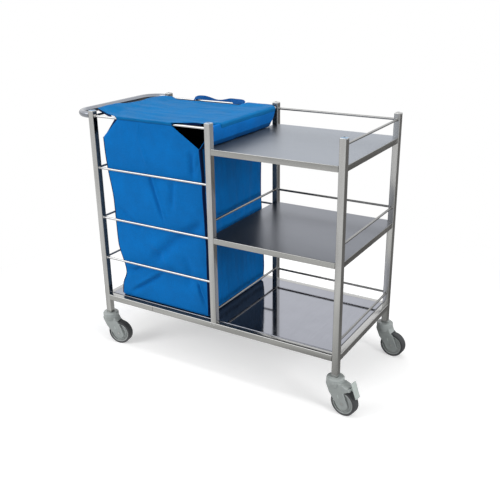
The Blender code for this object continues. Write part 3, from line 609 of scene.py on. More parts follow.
bead = wire(round_bar, "GeometryNodeMeshUVSphere", {"Segments": 20, "Rings": 10,
                                                    "Radius": given["Bead Radius"]})
turned = wire(round_bar, "FunctionNodeAlignRotationToVector",
              {"Vector": named_value(round_bar, "way", "FLOAT_VECTOR")}, axis="Z")
flattened = wire(round_bar, "ShaderNodeCombineXYZ", {"X": 1.0, "Y": 1.0, "Z": given["Bead Depth"]})
beads = wire(round_bar, "GeometryNodeInstanceOnPoints",
             {"Points": given["Geometry"], "Selection": named_value(round_bar, "weld", "BOOLEAN"),
              "Instance": bead.outputs["Mesh"], "Rotation": turned.outputs[0],
              "Scale": flattened.outputs[0]})
both = wire(round_bar, "GeometryNodeJoinGeometry")
round_bar.links.new(bar, both.inputs[0])
round_bar.links.new(beads.outputs[0], both.inputs[0])
close_shape(round_bar, given, result, both.outputs[0])

bar_steel = steel_finish("bar_steel", (0.56, 0.56, 0.56), BAR_LAY, 0.16, 0.04, 0.05, 20.0)
# The guards are the same bar painted darker: painted shade for the dull reflections they show
guard_steel = steel_finish("guard_steel", (0.29, 0.29, 0.285), BAR_LAY, 0.16, 0.04, 0.05, 20.0)
bay_bars = [f"bay_bar_{side}_{level}" for side in ("front", "rear", "left") for level in (1, 2, 3, 4)]
bay_bars.append("bay_bar_middle")
guards = ["guard_top_rear", "guard_top_right"] + [f"guard_{shelf}_{side}" for shelf in ("middle", "bottom")
                                                  for side in ("left", "rear", "right")]
for name, nodes, steel in (("bay_bars", bay_bars, bar_steel), ("shelf_guards", guards, guard_steel)):
    lines_mesh = line_mesh(name, [bar_run(node) for node in nodes], welded=True)
    mesh = shaped_by(round_bar, name, lines_mesh, radius=BAR_RADIUS, sides=24, bead_radius=BEAD_RADIUS,
                     bead_depth=BEAD_DEPTH, material=steel)
    fit_piece(name, mesh, steel, "frame", "frame_steel", *nodes)


# Push handle
# One bow of 25 mm round tube across the left end, bent to a large radius and welded to both posts.

HANDLE_RADIUS = 0.0125
HANDLE_BEND = 0.075
HANDLE_BEND_STEPS = 18
HANDLE_BEAD, HANDLE_BEAD_DEPTH = 0.0146, 0.16

low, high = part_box("push_handle")
handle_z = (low.z + high.z) / 2
front_y, rear_y = low.y + HANDLE_RADIUS, high.y - HANDLE_RADIUS
bend_x = low.x + HANDLE_RADIUS + HANDLE_BEND
bend = [i / HANDLE_BEND_STEPS * pi / 2 for i in range(HANDLE_BEND_STEPS + 1)]
handle_path = [Vector((high.x, front_y, handle_z))]
handle_path += [Vector((bend_x - HANDLE_BEND * sin(angle), front_y + HANDLE_BEND * (1 - cos(angle)),
                        handle_z)) for angle in bend]
handle_path += [Vector((bend_x - HANDLE_BEND * cos(angle), rear_y - HANDLE_BEND * (1 - sin(angle)),
                        handle_z)) for angle in bend]
handle_path.append(Vector((high.x, rear_y, handle_z)))
handle_steel = steel_finish("handle_steel", (0.285, 0.30, 0.33), (300.0, 18.0, 300.0), 0.20, 0.08, 0.06,
                            14.0)
handle_line = line_mesh("push_handle_tube", [handle_path], welded=True)
mesh = shaped_by(round_bar, "push_handle_tube", handle_line, radius=HANDLE_RADIUS, sides=40,
                 bead_radius=HANDLE_BEAD, bead_depth=HANDLE_BEAD_DEPTH, material=handle_steel)
fit_piece("push_handle_tube", mesh, handle_steel, "frame", "frame_steel", "push_handle")


# Linen bag
# A square bag of coated blue nylon hangs in the left bay. Its front comes up outside the top bar and is
# tucked in. The other sides come up inside their bars: the right one hangs over its bar as a hemmed cuff,
# the rear and left ones for a part of their length, and the rest of them ends in a hem.

# Height, then where the left, right, front and rear walls run
BAG_LEVELS = (
    (0.2301, -0.469, -0.027, -0.2280, 0.201),
    (0.2842, -0.461, -0.025, -0.2280, 0.207),
    (0.3450, -0.439, -0.026, -0.2280, 0.205),
    (0.4599, -0.470, -0.023, -0.2290, 0.195),
    (0.6494, -0.475, -0.029, -0.2290, 0.191),
    (0.7980, -0.490, -0.029, -0.2340, 0.197),
    (0.9060, -0.487, -0.029, -0.2445, 0.211),
)
BAG_ROWS = 88
BAG_COLUMNS = (84, 60, 48, 50)
BAG_CORNER = 0.009
BAG_FOOT = 0.006
# Levels between which the folds grow out of the foot, and calm down to a share below the neck
FOOT_EASE, NECK_EASE, NECK_CALM = (0.2301, 0.262), (0.925, 0.86), 0.35
BAG_FLOOR_STEPS = 8
GIRTH_ROW = 60
CLOTH = 0.0014
CLOTH_CAD = 0.0022
CLOTH_GAP = 0.0006
TOP_BAR_Z = 0.986
BAR_LINES = {"left": -0.5315, "middle": 0.0135, "front": -0.2455, "rear": 0.2455}
FOLD_RADIUS = BAR_RADIUS + CLOTH_GAP + CLOTH_CAD / 2
FOLD_LEAD = 0.020
TUCK_LEAD = 0.004
NECK_STEPS = 9
FOLD_STEPS = 10
HANG_STEPS = 10
RELIEF_LIMITS = (-0.021, 0.0075)
# Factors on the widths and depths of the folds below
FOLD_WIDTH, FOLD_DEPTH = 0.75, 2.1
# Folds of the front wall: points across it and up it, half width, depth, and the rise of its right lip
FRONT_FOLDS = (
    (((-0.321, 0.966), (-0.306, 0.910), (-0.287, 0.851), (-0.279, 0.810)), 0.009, -0.0020, 0.0),
    (((-0.278, 0.775), (-0.271, 0.750), (-0.247, 0.673), (-0.224, 0.595)), 0.011, 0.0045, 0.0034),
    (((-0.170, 0.765), (-0.176, 0.732), (-0.182, 0.650)), 0.019, 0.0040, 0.0012),
    (((-0.066, 0.900), (-0.072, 0.850), (-0.076, 0.790)), 0.016, 0.0045, 0.0020),
    (((-0.030, 0.860), (-0.050, 0.840), (-0.056, 0.800)), 0.008, 0.0030, 0.0016),
    (((-0.024, 0.624), (-0.100, 0.571), (-0.175, 0.520), (-0.254, 0.450), (-0.314, 0.395)), 0.030,
     0.0075, 0.0),
    (((-0.290, 0.500), (-0.240, 0.455), (-0.200, 0.400)), 0.020, -0.0035, 0.0),
    (((-0.406, 0.258), (-0.315, 0.319), (-0.240, 0.371)), 0.013, 0.0050, 0.0030),
    (((-0.073, 0.368), (-0.060, 0.327), (-0.034, 0.273)), 0.0070, 0.0060, 0.0028),
    (((-0.130, 0.480), (-0.110, 0.420), (-0.120, 0.330)), 0.024, 0.0035, 0.0),
    (((-0.450, 0.620), (-0.380, 0.560), (-0.330, 0.540)), 0.018, 0.0035, 0.0),
    (((-0.455, 0.360), (-0.400, 0.350), (-0.330, 0.380)), 0.014, 0.0045, 0.0020),
)


def smooth_between(table, height):
    """Values of a table at a height, on a smooth curve through its rows."""
    for i in range(len(table) - 1):
        if height <= table[i + 1][0] or i == len(table) - 2:
            break
    rows = [table[min(max(k, 0), len(table) - 1)] for k in (i - 1, i, i + 1, i + 2)]
    t = min(max((height - rows[1][0]) / (rows[2][0] - rows[1][0]), 0.0), 1.0)
    values = []
    for a, b, c, d in list(zip(*rows))[1:]:
        values.append(0.5 * (2 * b + (c - a) * t + (2 * a - 5 * b + 4 * c - d) * t * t
                             + (3 * b - a - 3 * c + d) * t ** 3))
    return values


def fold_depth(x, z, line, width, depth, lip):
    """Depth of one fold at a point of the wall: a soft valley with a raised lip on one side."""
    best, side, along = 9.0, 1.0, 0.0
    for i in range(len(line) - 1):
        (ax, az), (bx, bz) = line[i], line[i + 1]
        dx, dz = bx - ax, bz - az
        t = min(max(((x - ax) * dx + (z - az) * dz) / (dx * dx + dz * dz), 0.0), 1.0)
        px, pz = x - ax - t * dx, z - az - t * dz
        distance = hypot(px, pz)
        if distance < best:
            best = distance
            side = 1.0 if dx * pz - dz * px > 0 else -1.0
            along = (i + t) / (len(line) - 1)
    ends = min(1.0, 4.5 * along + 0.15, 4.5 * (1 - along) + 0.15)
    valley = depth * exp(-(best / width) ** 2)
    ridge = lip * exp(-((best - 1.7 * width) / (0.8 * width)) ** 2) if side > 0 else 0.0
    return (ridge - valley) * ends


def ease(low, high, value):
    """0 below low, 1 above high, and a smooth step between."""
    t = min(max((value - low) / (high - low), 0.0), 1.0)
    return t * t * (3 - 2 * t)


def soft_noise(x, y, z, seed):
    """Smooth noise at a place, between -1 and 1."""
    return noise.noise(Vector((x + seed * 7.3, y + seed * 3.1, z - seed * 5.7)))


def front_relief(x, z):
    """How far the front wall stands out of its plane at a point."""
    relief = 0.0030 * soft_noise(x * 7, 0, z * 4, 1) + 0.0012 * soft_noise(x * 24, 0, z * 13, 2)
    for line, width, depth, lip in FRONT_FOLDS:
        relief += fold_depth(x, z, line, FOLD_WIDTH * width, FOLD_DEPTH * depth, FOLD_DEPTH * lip)
    relief += 0.0035 * sin((z - 0.395) / 0.190 * pi) ** 2
    return max(min(relief, RELIEF_LIMITS[1]), RELIEF_LIMITS[0])


def side_relief(share, z, seed):
    """Slack upright folds of the side and rear walls."""
    drop = 0.006 * soft_noise(share * 5.0, seed, z * 3.0, seed)
    pleat = 0.0045 * soft_noise(share * 15.0 + 1.5 * z, 0, z * 4.5, seed + 3)
    fine = 0.0012 * soft_noise(share * 40.0, 0, z * 16.0, seed + 5)
    return drop + pleat + fine


def bag_ring(height):
    """One level of the bag: a point for each column, from the front left corner round."""
    left, right, front, rear = smooth_between(BAG_LEVELS, height)
    corners = [Vector((left, front)), Vector((right, front)), Vector((right, rear)), Vector((left, rear))]
    for k, corner in enumerate(corners):
        corner.x += 0.0030 * soft_noise(height * 9, k, 0, 11)
        if k > 1:
            corner.y += 0.0035 * soft_noise(height * 8, k, 0, 12)
    outward = (Vector((0, -1)), Vector((1, 0)), Vector((0, 1)), Vector((-1, 0)))
    ring = []
    for side in range(4):
        start, end = corners[side], corners[(side + 1) % 4]
        for i in range(BAG_COLUMNS[side]):
            share = i / BAG_COLUMNS[side]
            point = start.lerp(end, share)
            run = (end - start).length
            near = min(share, 1 - share) * run
            corner_cut = BAG_CORNER * 0.30 * (1 - min(near / BAG_CORNER, 1.0)) ** 2
            if side == 0:
                relief = front_relief(point.x, height)
                relief *= NECK_CALM + (1 - NECK_CALM) * ease(*NECK_EASE, height)
            else:
                relief = side_relief(share, height, side)
            relief *= ease(*FOOT_EASE, height) * ease(0.0, 0.035, near)
            point = point + outward[side] * (relief - corner_cut)
            ring.append(Vector((point.x, point.y, height)))
    return ring


def grid_faces(base, rows, width):
    """Quads of a grid of points, of which the first has a number in the list."""
    corners = [base + row * width + column for row in range(rows - 1) for column in range(width - 1)]
    return [(a, a + 1, a + width + 1, a + width) for a in corners]


bag_points, bag_faces, bag_uv, bag_hem_and_shade, bag_sides = [], [], [], [], []
WALL_FACE, CUFF_FACE = 0, 2


def add_patch(rows, across, up, hems_and_shade=None, side=WALL_FACE):
    """Add a grid of points to the bag, with its cloth run across and up in metres and its finish."""
    faces = grid_faces(len(bag_points), len(rows), len(rows[0]))
    bag_faces.extend(faces)
    bag_sides.extend([side] * len(faces))
    for r, row in enumerate(rows):
        bag_points.extend(row)
        bag_uv.extend((place, up[r]) for place in across)
        bag_hem_and_shade.extend([hems_and_shade[r] if hems_and_shade else 0.0] * len(row))


total_columns = sum(BAG_COLUMNS)
bag_foot, bag_neck = BAG_LEVELS[0][0], BAG_LEVELS[-1][0]
levels = [bag_foot + (bag_neck - bag_foot) * row / BAG_ROWS for row in range(BAG_ROWS + 1)]
body_rings = []
for height in levels:
    ring = bag_ring(height)
    rise = height - bag_foot
    if rise < BAG_FOOT:
        shrink = BAG_FOOT * (1 - sqrt(1 - (1 - rise / BAG_FOOT) ** 2))
        centre = sum(ring, Vector((0, 0, 0))) / len(ring)
        ring = [point - (point - centre).normalized() * shrink for point in ring]
    body_rings.append(ring)
girth = [0.0]
for i in range(total_columns):
    a, b = body_rings[GIRTH_ROW][i], body_rings[GIRTH_ROW][(i + 1) % total_columns]
    girth.append(girth[-1] + (b - a).length)
add_patch([ring + [ring[0]] for ring in body_rings], girth, levels)

# Floor of the bag: rings that close in from the foot of the walls
foot = body_rings[0] + [body_rings[0][0]]
centre = sum(foot, Vector((0, 0, 0))) / len(foot)
floor_rows, floor_up = [], []
for k in range(BAG_FLOOR_STEPS, -1, -1):
    floor_rows.append([centre + (point - centre) * (1 - k / BAG_FLOOR_STEPS * 0.999) for point in foot])
    floor_up.append(bag_foot - 0.15 * k / BAG_FLOOR_STEPS)
add_patch(floor_rows, girth, floor_up)

# Cuffs: ends of the line where each side meets its bar, the way out of the bay, hung out or tucked in,
# the columns that reach over the bar, the hang and the seed. The rest of a side ends in a plain hem.
CUFFS = (
    ((-0.403, BAR_LINES["front"]), (-0.143, BAR_LINES["front"]), (0, -1), True, (0, 84), 0.055, 21),
    ((BAR_LINES["middle"], -0.229), (BAR_LINES["middle"], 0.2262), (1, 0), False, (0, 60), 0.0665, 22),
    ((-0.008, BAR_LINES["rear"]), (-0.500, BAR_LINES["rear"]), (0, 1), False, (0, 12), 0.042, 23),
    ((BAR_LINES["left"], 0.215), (BAR_LINES["left"], -0.236), (-1, 0), False, (0, 36), 0.055, 24),
)
REAR_HEM_Z = 0.976
REAR_CUFF_END = (0.245, 0.30)
LEFT_SLANT = 0.72
LEFT_SLANT_DROP, LEFT_SLANT_IN = 0.058, 0.036
RIGHT_SLANT_DROP, SLANT_FOOT_Y = 0.058, 0.188
NECK_RUN = 0.062
NECK_HEM = (0.72, 0.80)
# Creases of the front's neck: place across, lean, width and height; they are placed at one level
NECK_CREASES = ((-0.311, 0.26, 0.007, 0.0030), (-0.385, 0.0, 0.016, 0.0034))
NECK_CREASE_Z = 0.935
# Band above the foot of each cuff that the hem mask covers, where the cuff cloth paints shade
CUFF_HEM = (0.017, 0.015)
SNAP_PLACE = (0.0222, 0.1835, 0.9290)
SNAP_RADIUS, SNAP_RISE = 0.0024, 0.0014


def wall_top(side, share, z):
    """Height where a side ends: at its bar, or along its hem where it doesn't reach the bar."""
    if side == 2 and share > REAR_CUFF_END[0]:
        return z + (REAR_HEM_Z - TOP_BAR_Z + FOLD_LEAD) * ease(*REAR_CUFF_END, share)
    if side == 3 and share > LEFT_SLANT:
        return z - LEFT_SLANT_DROP * ((share - LEFT_SLANT) / (1 - LEFT_SLANT)) ** 0.8
    return z


# Painted shade: dark strips along the left edge of the front's neck and the front edge of the right neck,
# where the cloth turns away into shade
NECK_SHADE_WIDTH = 0.017
NECK_SHADE_STAND = 0.0016
NECK_SHADE_LAY = 0.0015
neck_shade_strips = []
first = 0
for side, (start, end, outward, tucked, folded, hang, seed) in enumerate(CUFFS):
    count = BAG_COLUMNS[side]
    neck = [body_rings[-1][(first + i) % total_columns] for i in range(count + 1)]
    across = girth[first:first + count + 1]
    first += count
    way, lead = (1, TUCK_LEAD) if tucked else (-1, FOLD_LEAD)
    out = Vector((*outward, 0))
    low_line = []
    for i in range(count + 1):
        share = i / count
        point = Vector((*start, 0)).lerp(Vector((*end, 0)), share) + out * way * FOLD_RADIUS
        point.z = wall_top(side, share, TOP_BAR_Z - lead)
        if side == 3:
            point.x += LEFT_SLANT_IN * ease(LEFT_SLANT, 1.0, share)
        low_line.append(point)
    rows, up, hems_and_shade = [neck], [levels[-1]], [0.0]
    for step in range(1, NECK_STEPS + 1):
        share = step / NECK_STEPS
        row = []
        for i in range(count + 1):
            point = neck[i].lerp(low_line[i], share)
            swell = sin(share * pi) * ease(0.0, 0.12, min(i, count - i) / count)
            lift = 0.0026 * soft_noise(i / count * 9, share * 2, 0, seed)
            if side == 0:
                for x, lean, width, height in NECK_CREASES:
                    off = point.x - x + lean * (NECK_CREASE_Z - point.z)
                    lift += height * exp(-(off / width) ** 2)
            row.append(point + out * lift * swell)
        rows.append(row)
        up.append(levels[-1] + NECK_RUN * share)
        hems_and_shade.append(ease(*NECK_HEM, share) if side > 1 else 0.0)
    add_patch(rows, across, up, hems_and_shade)
    if side == 0:
        neck_shade_strips.append([[row[0] + Vector((-k / 3 * NECK_SHADE_WIDTH * step / NECK_STEPS, NECK_SHADE_LAY * (1 + k), 0))
                         for k in range(4)] for step, row in enumerate(rows)])
    elif side == 1:
        neck_shade_strips.append([[row[k] + out * NECK_SHADE_STAND for k in range(4)] for row in rows])
    run = up[-1]
    profile = [(way * FOLD_RADIUS, -lead), (way * FOLD_RADIUS, 0.0)]
    for step in range(1, FOLD_STEPS + 1):
        angle = pi * step / FOLD_STEPS
        profile.append((way * FOLD_RADIUS * cos(angle), FOLD_RADIUS * sin(angle)))
    for step in range(1, HANG_STEPS + 1):
        profile.append((-way * FOLD_RADIUS, -hang * step / HANG_STEPS))
    previous = profile[0]
    rows, up, hems_and_shade = [], [], []
    for index, (offset, rise) in enumerate(profile):
        hanging = index > FOLD_STEPS + 1
        free = ease(0.0, -hang, rise) if hanging else 0.0
        belly = sin(min(-rise / hang, 1.0) * pi) if hanging else 0.0
        row = []
        for i in range(folded[0], folded[1] + 1):
            share = i / count
            base = Vector((*start, TOP_BAR_Z + rise)).lerp(Vector((*end, TOP_BAR_Z + rise)), share)
            if side == 1 and hanging:
                slant = (SLANT_FOOT_Y - end[1]) * min(-rise / RIGHT_SLANT_DROP, 1.0)
                base.y = start[1] + (base.y - start[1]) * (1 + slant / (end[1] - start[1]))
            if tucked:
                wave = -0.004 * free
            else:
                wave = -0.0065 * free * (1 + 0.4 * soft_noise(share * 8, 0, 0, seed + 4))
                wave += 0.0060 * belly * (0.9 + 0.6 * soft_noise(share * 5, rise * 14, 0, seed + 5))
            slack = 0.0016 * free * soft_noise(share * 16, 0, 1, seed + 6)
            row.append(base + out * (offset + wave) + Vector((0, 0, slack)))
        rows.append(row)
        run += hypot(offset - previous[0], rise - previous[1])
        previous = (offset, rise)
        up.append(run)
        hems_and_shade.append(ease(CUFF_HEM[0] - hang, CUFF_HEM[1] - hang, rise) if hanging else 0.0)
    add_patch(rows, across[folded[0]:folded[1] + 1], up, hems_and_shade, CUFF_FACE)


cloth_weave, given, result = new_tree(
    "cloth_weave", "ShaderNodeTree",
    (("UV", "Vector", None), ("Vector", "Vector", None), ("Tone", "Color", (0.0, 0.1, 0.4, 1.0)),
     ("Threads", "Float", 1400.0), ("Relief", "Float", 0.3), ("Fade", "Float", 0.1), ("Hem", "Float", 0.0),
     ("Hem Tone", "Float", 0.82), ("Roughness", "Float", 0.6)), FINISH_OUTPUTS)
split = wire(cloth_weave, "ShaderNodeSeparateXYZ", {0: given["UV"]}).outputs
threads = [math_of(cloth_weave, "SINE", math_of(cloth_weave, "MULTIPLY", split[axis], given["Threads"]))
           for axis in ("X", "Y")]
crossing = math_of(cloth_weave, "MULTIPLY", *threads)
worn = noise_of(cloth_weave, given["Vector"], 11.0, 5.0, 0.6)
slub = noise_of(cloth_weave, given["UV"], 160.0, 2.0)
tone = math_of(cloth_weave, "MULTIPLY", spread(cloth_weave, crossing, -1.0, 1.0, 0.95, 1.05),
               spread(cloth_weave, slub, 0.3, 0.7, 0.96, 1.04))
tone = math_of(cloth_weave, "MULTIPLY", tone,
               spread(cloth_weave, worn, 0.32, 0.70, math_of(cloth_weave, "SUBTRACT", 1.0, given["Fade"]),
                      math_of(cloth_weave, "ADD", 1.0, given["Fade"])))
# Painted shade: the hem mask darkens the cloth by the hem shade, for the shade at turned-under edges and cuff
# feet; the same mask also gives the hem its real relief
tone = math_of(cloth_weave, "MULTIPLY", tone,
               spread(cloth_weave, given["Hem"], 0.0, 1.0, 1.0, given["Hem Tone"]))
gloss = math_of(cloth_weave, "ADD", given["Roughness"], spread(cloth_weave, worn, 0.3, 0.7, -0.05, 0.05))
pucker = bump_of(cloth_weave, 0.30, 0.0030, noise_of(cloth_weave, given["Vector"], 34.0, 3.0))
hemmed = bump_of(cloth_weave, 0.5, 0.0010, given["Hem"], pucker)
woven = bump_of(cloth_weave, given["Relief"], 0.00015, crossing, hemmed)
hand_over(cloth_weave, result, scaled(cloth_weave, given["Tone"], tone), gloss, woven)

# Painted reflection: glossy rays see the cloth in this greyer, darker tone instead of its own colour
PAINTED_CLOTH_REFLECTION = (0.060, 0.105, 0.180, 1.0)


def cloth_finish(name, tone, threads, relief, fade, roughness, sheen, hem_shade=0.82):
    """Woven cloth; it reads the piece's UV map and its hem attribute, which also paints shade, and shows
    glossy rays a painted reflection tone.
    """
    material, tree, output = empty_material(name)
    place = wire(tree, "ShaderNodeTexCoord").outputs
    hem = wire(tree, "ShaderNodeAttribute", attribute_name="hem").outputs["Fac"]
    finish = wire(tree, "ShaderNodeGroup", {
        "UV": place["UV"], "Vector": place["Object"], "Tone": (*tone, 1.0), "Threads": threads,
        "Relief": relief, "Fade": fade, "Hem": hem, "Hem Tone": hem_shade, "Roughness": roughness},
        node_tree=cloth_weave).outputs
    # Painted reflection: glossy rays get the painted reflection tone in place of the cloth's colour
    glossy = wire(tree, "ShaderNodeLightPath").outputs["Is Glossy Ray"]
    seen = wire(tree, "ShaderNodeMix", {0: glossy, 6: finish["Color"], 7: PAINTED_CLOTH_REFLECTION}, data_type="RGBA")
    lay_surface(tree, output, finish, {
        "Base Color": seen.outputs[2], "Sheen Weight": sheen, "Sheen Roughness": 0.45,
        "Sheen Tint": (0.55, 0.72, 1.0, 1.0), "Specular IOR Level": 0.10})
    return material


def cloth_mesh(name, points, faces, uv, hem, thickness, cloths, sides=None):
    """Cloth sheet merged at its seams, with outward faces, UVs in metres, a hem mask that also carries
    painted shade, and a wall.

    Each face's side picks its cloth from the list, and the next one lines it on the inside.
    """
    mesh = bpy.data.meshes.new(name)
    mesh.from_pydata(points, [], faces)
    for cloth in cloths:
        mesh.materials.append(cloth)
    if sides:
        mesh.polygons.foreach_set("material_index", sides)
    layer = mesh.uv_layers.new(name="cloth")
    for loop in mesh.loops:
        layer.data[loop.index].uv = uv[loop.vertex_index]
    mask = mesh.attributes.new("hem", "FLOAT", "POINT")
    mask.data.foreach_set("value", hem)
    bm = bmesh.new()
    bm.from_mesh(mesh)
    bmesh.ops.remove_doubles(bm, verts=bm.verts, dist=0.00002)
    bmesh.ops.recalc_face_normals(bm, faces=bm.faces)
    bm.faces.ensure_lookup_table()
    if bm.faces[0].normal.y > 0:
        bmesh.ops.reverse_faces(bm, faces=bm.faces)
    bm.to_mesh(mesh)
    bm.free()
    mesh.shade_smooth()
    carrier = bpy.data.objects.new(name, mesh)
    scene.collection.objects.link(carrier)
    wall = carrier.modifiers.new("wall", "SOLIDIFY")
    wall.thickness = thickness
    wall.offset = 0.0
    wall.use_even_offset = False
    wall.material_offset = 1
    wall.material_offset_rim = 0
    depsgraph = bpy.context.evaluated_depsgraph_get()
    solid = bpy.data.meshes.new_from_object(carrier.evaluated_get(depsgraph))
    bpy.data.objects.remove(carrier)
    solid.name = name
    return solid


nylon = (5200.0, 0.35, 0.07)
bag_cloth = cloth_finish("bag_cloth", (0.0030, 0.150, 0.475), *nylon, 0.70, 0.0)
# Painted shade: the cuffs are the bag's nylon in a darker blue, and their hem band is painted much darker
# still
cuff_cloth = cloth_finish("cuff_cloth", (0.0025, 0.130, 0.440), *nylon, 0.70, 0.0, 0.42)
# The inside faces of the bag are a near-black cloth
lining_cloth = cloth_finish("lining_cloth", (0.0100, 0.0100, 0.0120), *nylon, 0.80, 0.0)
bag_mesh = cloth_mesh("bag", bag_points, bag_faces, bag_uv, bag_hem_and_shade, CLOTH,
                      (bag_cloth, lining_cloth, cuff_cloth, cuff_cloth), bag_sides)
fit_piece("bag", bag_mesh, bag_cloth, "frame", "bag_cloth", "linen_bag")

# Corner bindings: a dark tape over each upright seam of the bag, wider on the side away from the front. The
# tape is a real binding; its widened part is painted shade, a dark strip where the corner turns into shade
TAPE_STAND = 0.00088
TAPE_CLOTH = 0.0006
TAPE_RUN = 0.006
binding_cloth = cloth_finish("binding_cloth", (0.004, 0.016, 0.070), 2400.0, 0.5, 0.08, 0.75, 0.0)
tape_points, tape_faces, tape_uv = [], [], []


def add_tape(rows):
    """Add a strip to the tapes, from rows of equal length."""
    tape_faces.extend(grid_faces(len(tape_points), len(rows), len(rows[0])))
    for row in rows:
        tape_points.extend(row)
        tape_uv.extend((k * TAPE_RUN, point.z) for k, point in enumerate(row))


for corner in range(4):
    column = sum(BAG_COLUMNS[:corner])
    reach = (-1, 0, 1, 2) if corner in (1, 2) else (-2, -1, 0, 1)
    rows = []
    for ring in body_rings[1:]:
        centre = sum(ring, Vector((0, 0, 0))) / len(ring)
        row = []
        for step in reach:
            point = ring[(column + step) % total_columns]
            away = point - centre
            row.append(point + Vector((copysign(1, away.x), copysign(1, away.y), 0)) * TAPE_STAND)
        rows.append(row)
    add_tape(rows)
for facing in neck_shade_strips:
    add_tape(facing)
mesh = cloth_mesh("bag_seam_tapes", tape_points, tape_faces, tape_uv, [0.0] * len(tape_points), TAPE_CLOTH,
                  (binding_cloth, binding_cloth))
fit_piece("bag_seam_tapes", mesh, binding_cloth, "frame", "bag_cloth")

# Snap: a small pale stud at the rear foot of the right cuff
fit_domes("cuff_snap", [SNAP_PLACE], SNAP_RADIUS, SNAP_RISE, 16, (1, 0, 0), (0, 1, 0), weld_steel,
          "bag_cloth")


# Lid of the bag
# A single sheet of the same nylon, sewn on at the front and laid over the cuffs of the other bars.
# Its edges are turned under and stitched.

LID_LEFT, LID_RIGHT = BAR_LINES["left"], BAR_LINES["middle"]
LID_FRONT_LEFT, LID_FRONT_RIGHT = -0.403, -0.143
LID_TAB_LEFT, LID_TAB_RIGHT = -0.515, -0.003
LID_SPREAD_Y, LID_NOTCH_Y, LID_REAR_Y = -0.1753, 0.2290, 0.2455
LID_SPREAD_LEFT_Y = -0.1960
LID_CLOTH = CLOTH
LID_COLUMNS = 96
LID_CLEAR = 0.0001
LID_LIP = 0.0105
LID_HEM = (0.011, 0.013)
LID_BEND = 0.008
LID_ROWS, LID_FRONT_ROWS, LID_REAR_ROWS = 76, 20, 4
NOTCH_HALF = 0.0015
DRAPE_COLUMNS = 9
DRAPE_RADIUS = 0.0084
DRAPE_DROP = 0.0100
REAR_SAG = 0.0120
REAR_PULL = 0.0095
# Front lip of the lid, from its foot up: how far each row hangs down, and how far it stands out
LID_LIP_ROWS = ((LID_LIP, -0.0018), (0.0065, 0.0002), (0.0025, 0.0010))
# Left edge of the lid over its bar: distance back, then how far it stands up and out
LEFT_FLARE = ((-0.2553, 0.0, 0.0), (-0.230, 0.0070, 0.008), (-0.195, 0.0120, 0.018), (-0.10, 0.0150, 0.013),
              (-0.03, 0.0075, 0.008), (0.05, 0.0040, 0.006), (0.12, 0.0070, 0.008), (0.20, 0.0040, 0.004),
              (0.2455, 0.0, 0.0))
hinge = next(joint for joint in frame["joints"] if joint["name"] == "lid_hinge")
HINGE_Y, HINGE_Z = hinge["pos_m"][1], hinge["pos_m"][2]


def lid_edges(y):
    """Left and right edge of the lid's flat part at a distance back from the hinge."""
    if y <= LID_SPREAD_Y:
        t = max((y - HINGE_Y) / (LID_SPREAD_Y - HINGE_Y), 0.0)
        t_left = min(max((y - HINGE_Y) / (LID_SPREAD_LEFT_Y - HINGE_Y), 0.0), 1.0)
        return (LID_FRONT_LEFT + (LID_LEFT - LID_FRONT_LEFT) * t_left,
                LID_FRONT_RIGHT + (LID_RIGHT - LID_FRONT_RIGHT) * t)
    t = ease(LID_NOTCH_Y - NOTCH_HALF, LID_NOTCH_Y + NOTCH_HALF, y)
    return LID_LEFT + (LID_TAB_LEFT - LID_LEFT) * t, LID_RIGHT + (LID_TAB_RIGHT - LID_RIGHT) * t


def lid_height(x, y):
    """Height of the lid over the hinge line: laid on the bars, slack and creased between them."""
    over_bars = min(ease(0.0, 0.045, x - LID_LEFT - 0.008), ease(0.0, 0.045, LID_RIGHT - 0.008 - x),
                    ease(0.0, 0.040, y - HINGE_Y - 0.018), ease(0.0, 0.045, LID_REAR_Y - 0.008 - y))
    across = (x - LID_LEFT) / (LID_RIGHT - LID_LEFT)
    sag = -0.0065 * sin(min(max(across, 0.0), 1.0) * pi) * over_bars
    folds = 0.0085 * soft_noise(x * 2.2, y * 15.0 + 2.4 * x, 0, 31)
    folds += 0.0038 * soft_noise(x * 6, y * 38, 0, 32)
    pulls = 0.0036 * soft_noise((x + y) * 13, (x - y) * 4, 0, 33)
    edge = 0.0009 * (1 + soft_noise(x * 22, y * 22, 0, 34))
    return LID_CLOTH / 2 + LID_CLEAR + sag + (folds + pulls) * over_bars + edge * (1 - over_bars)


def lid_point(x, y):
    """Place of a point of the flat lid: flared up at the left bar, slack below the rear bar."""
    up, out = smooth_between(LEFT_FLARE, y)
    flare = ease(LID_LEFT + 0.060, LID_LEFT, x)
    slack = ease(0.085, LID_REAR_Y, y) * ease(LID_LEFT + 0.004, LID_LEFT + 0.060, x)
    slack *= ease(-0.118, -0.165, x)
    z = lid_height(x, y) + up * flare - REAR_SAG * slack
    return Vector((x - out * flare, y - REAR_PULL * slack, HINGE_Z + z))


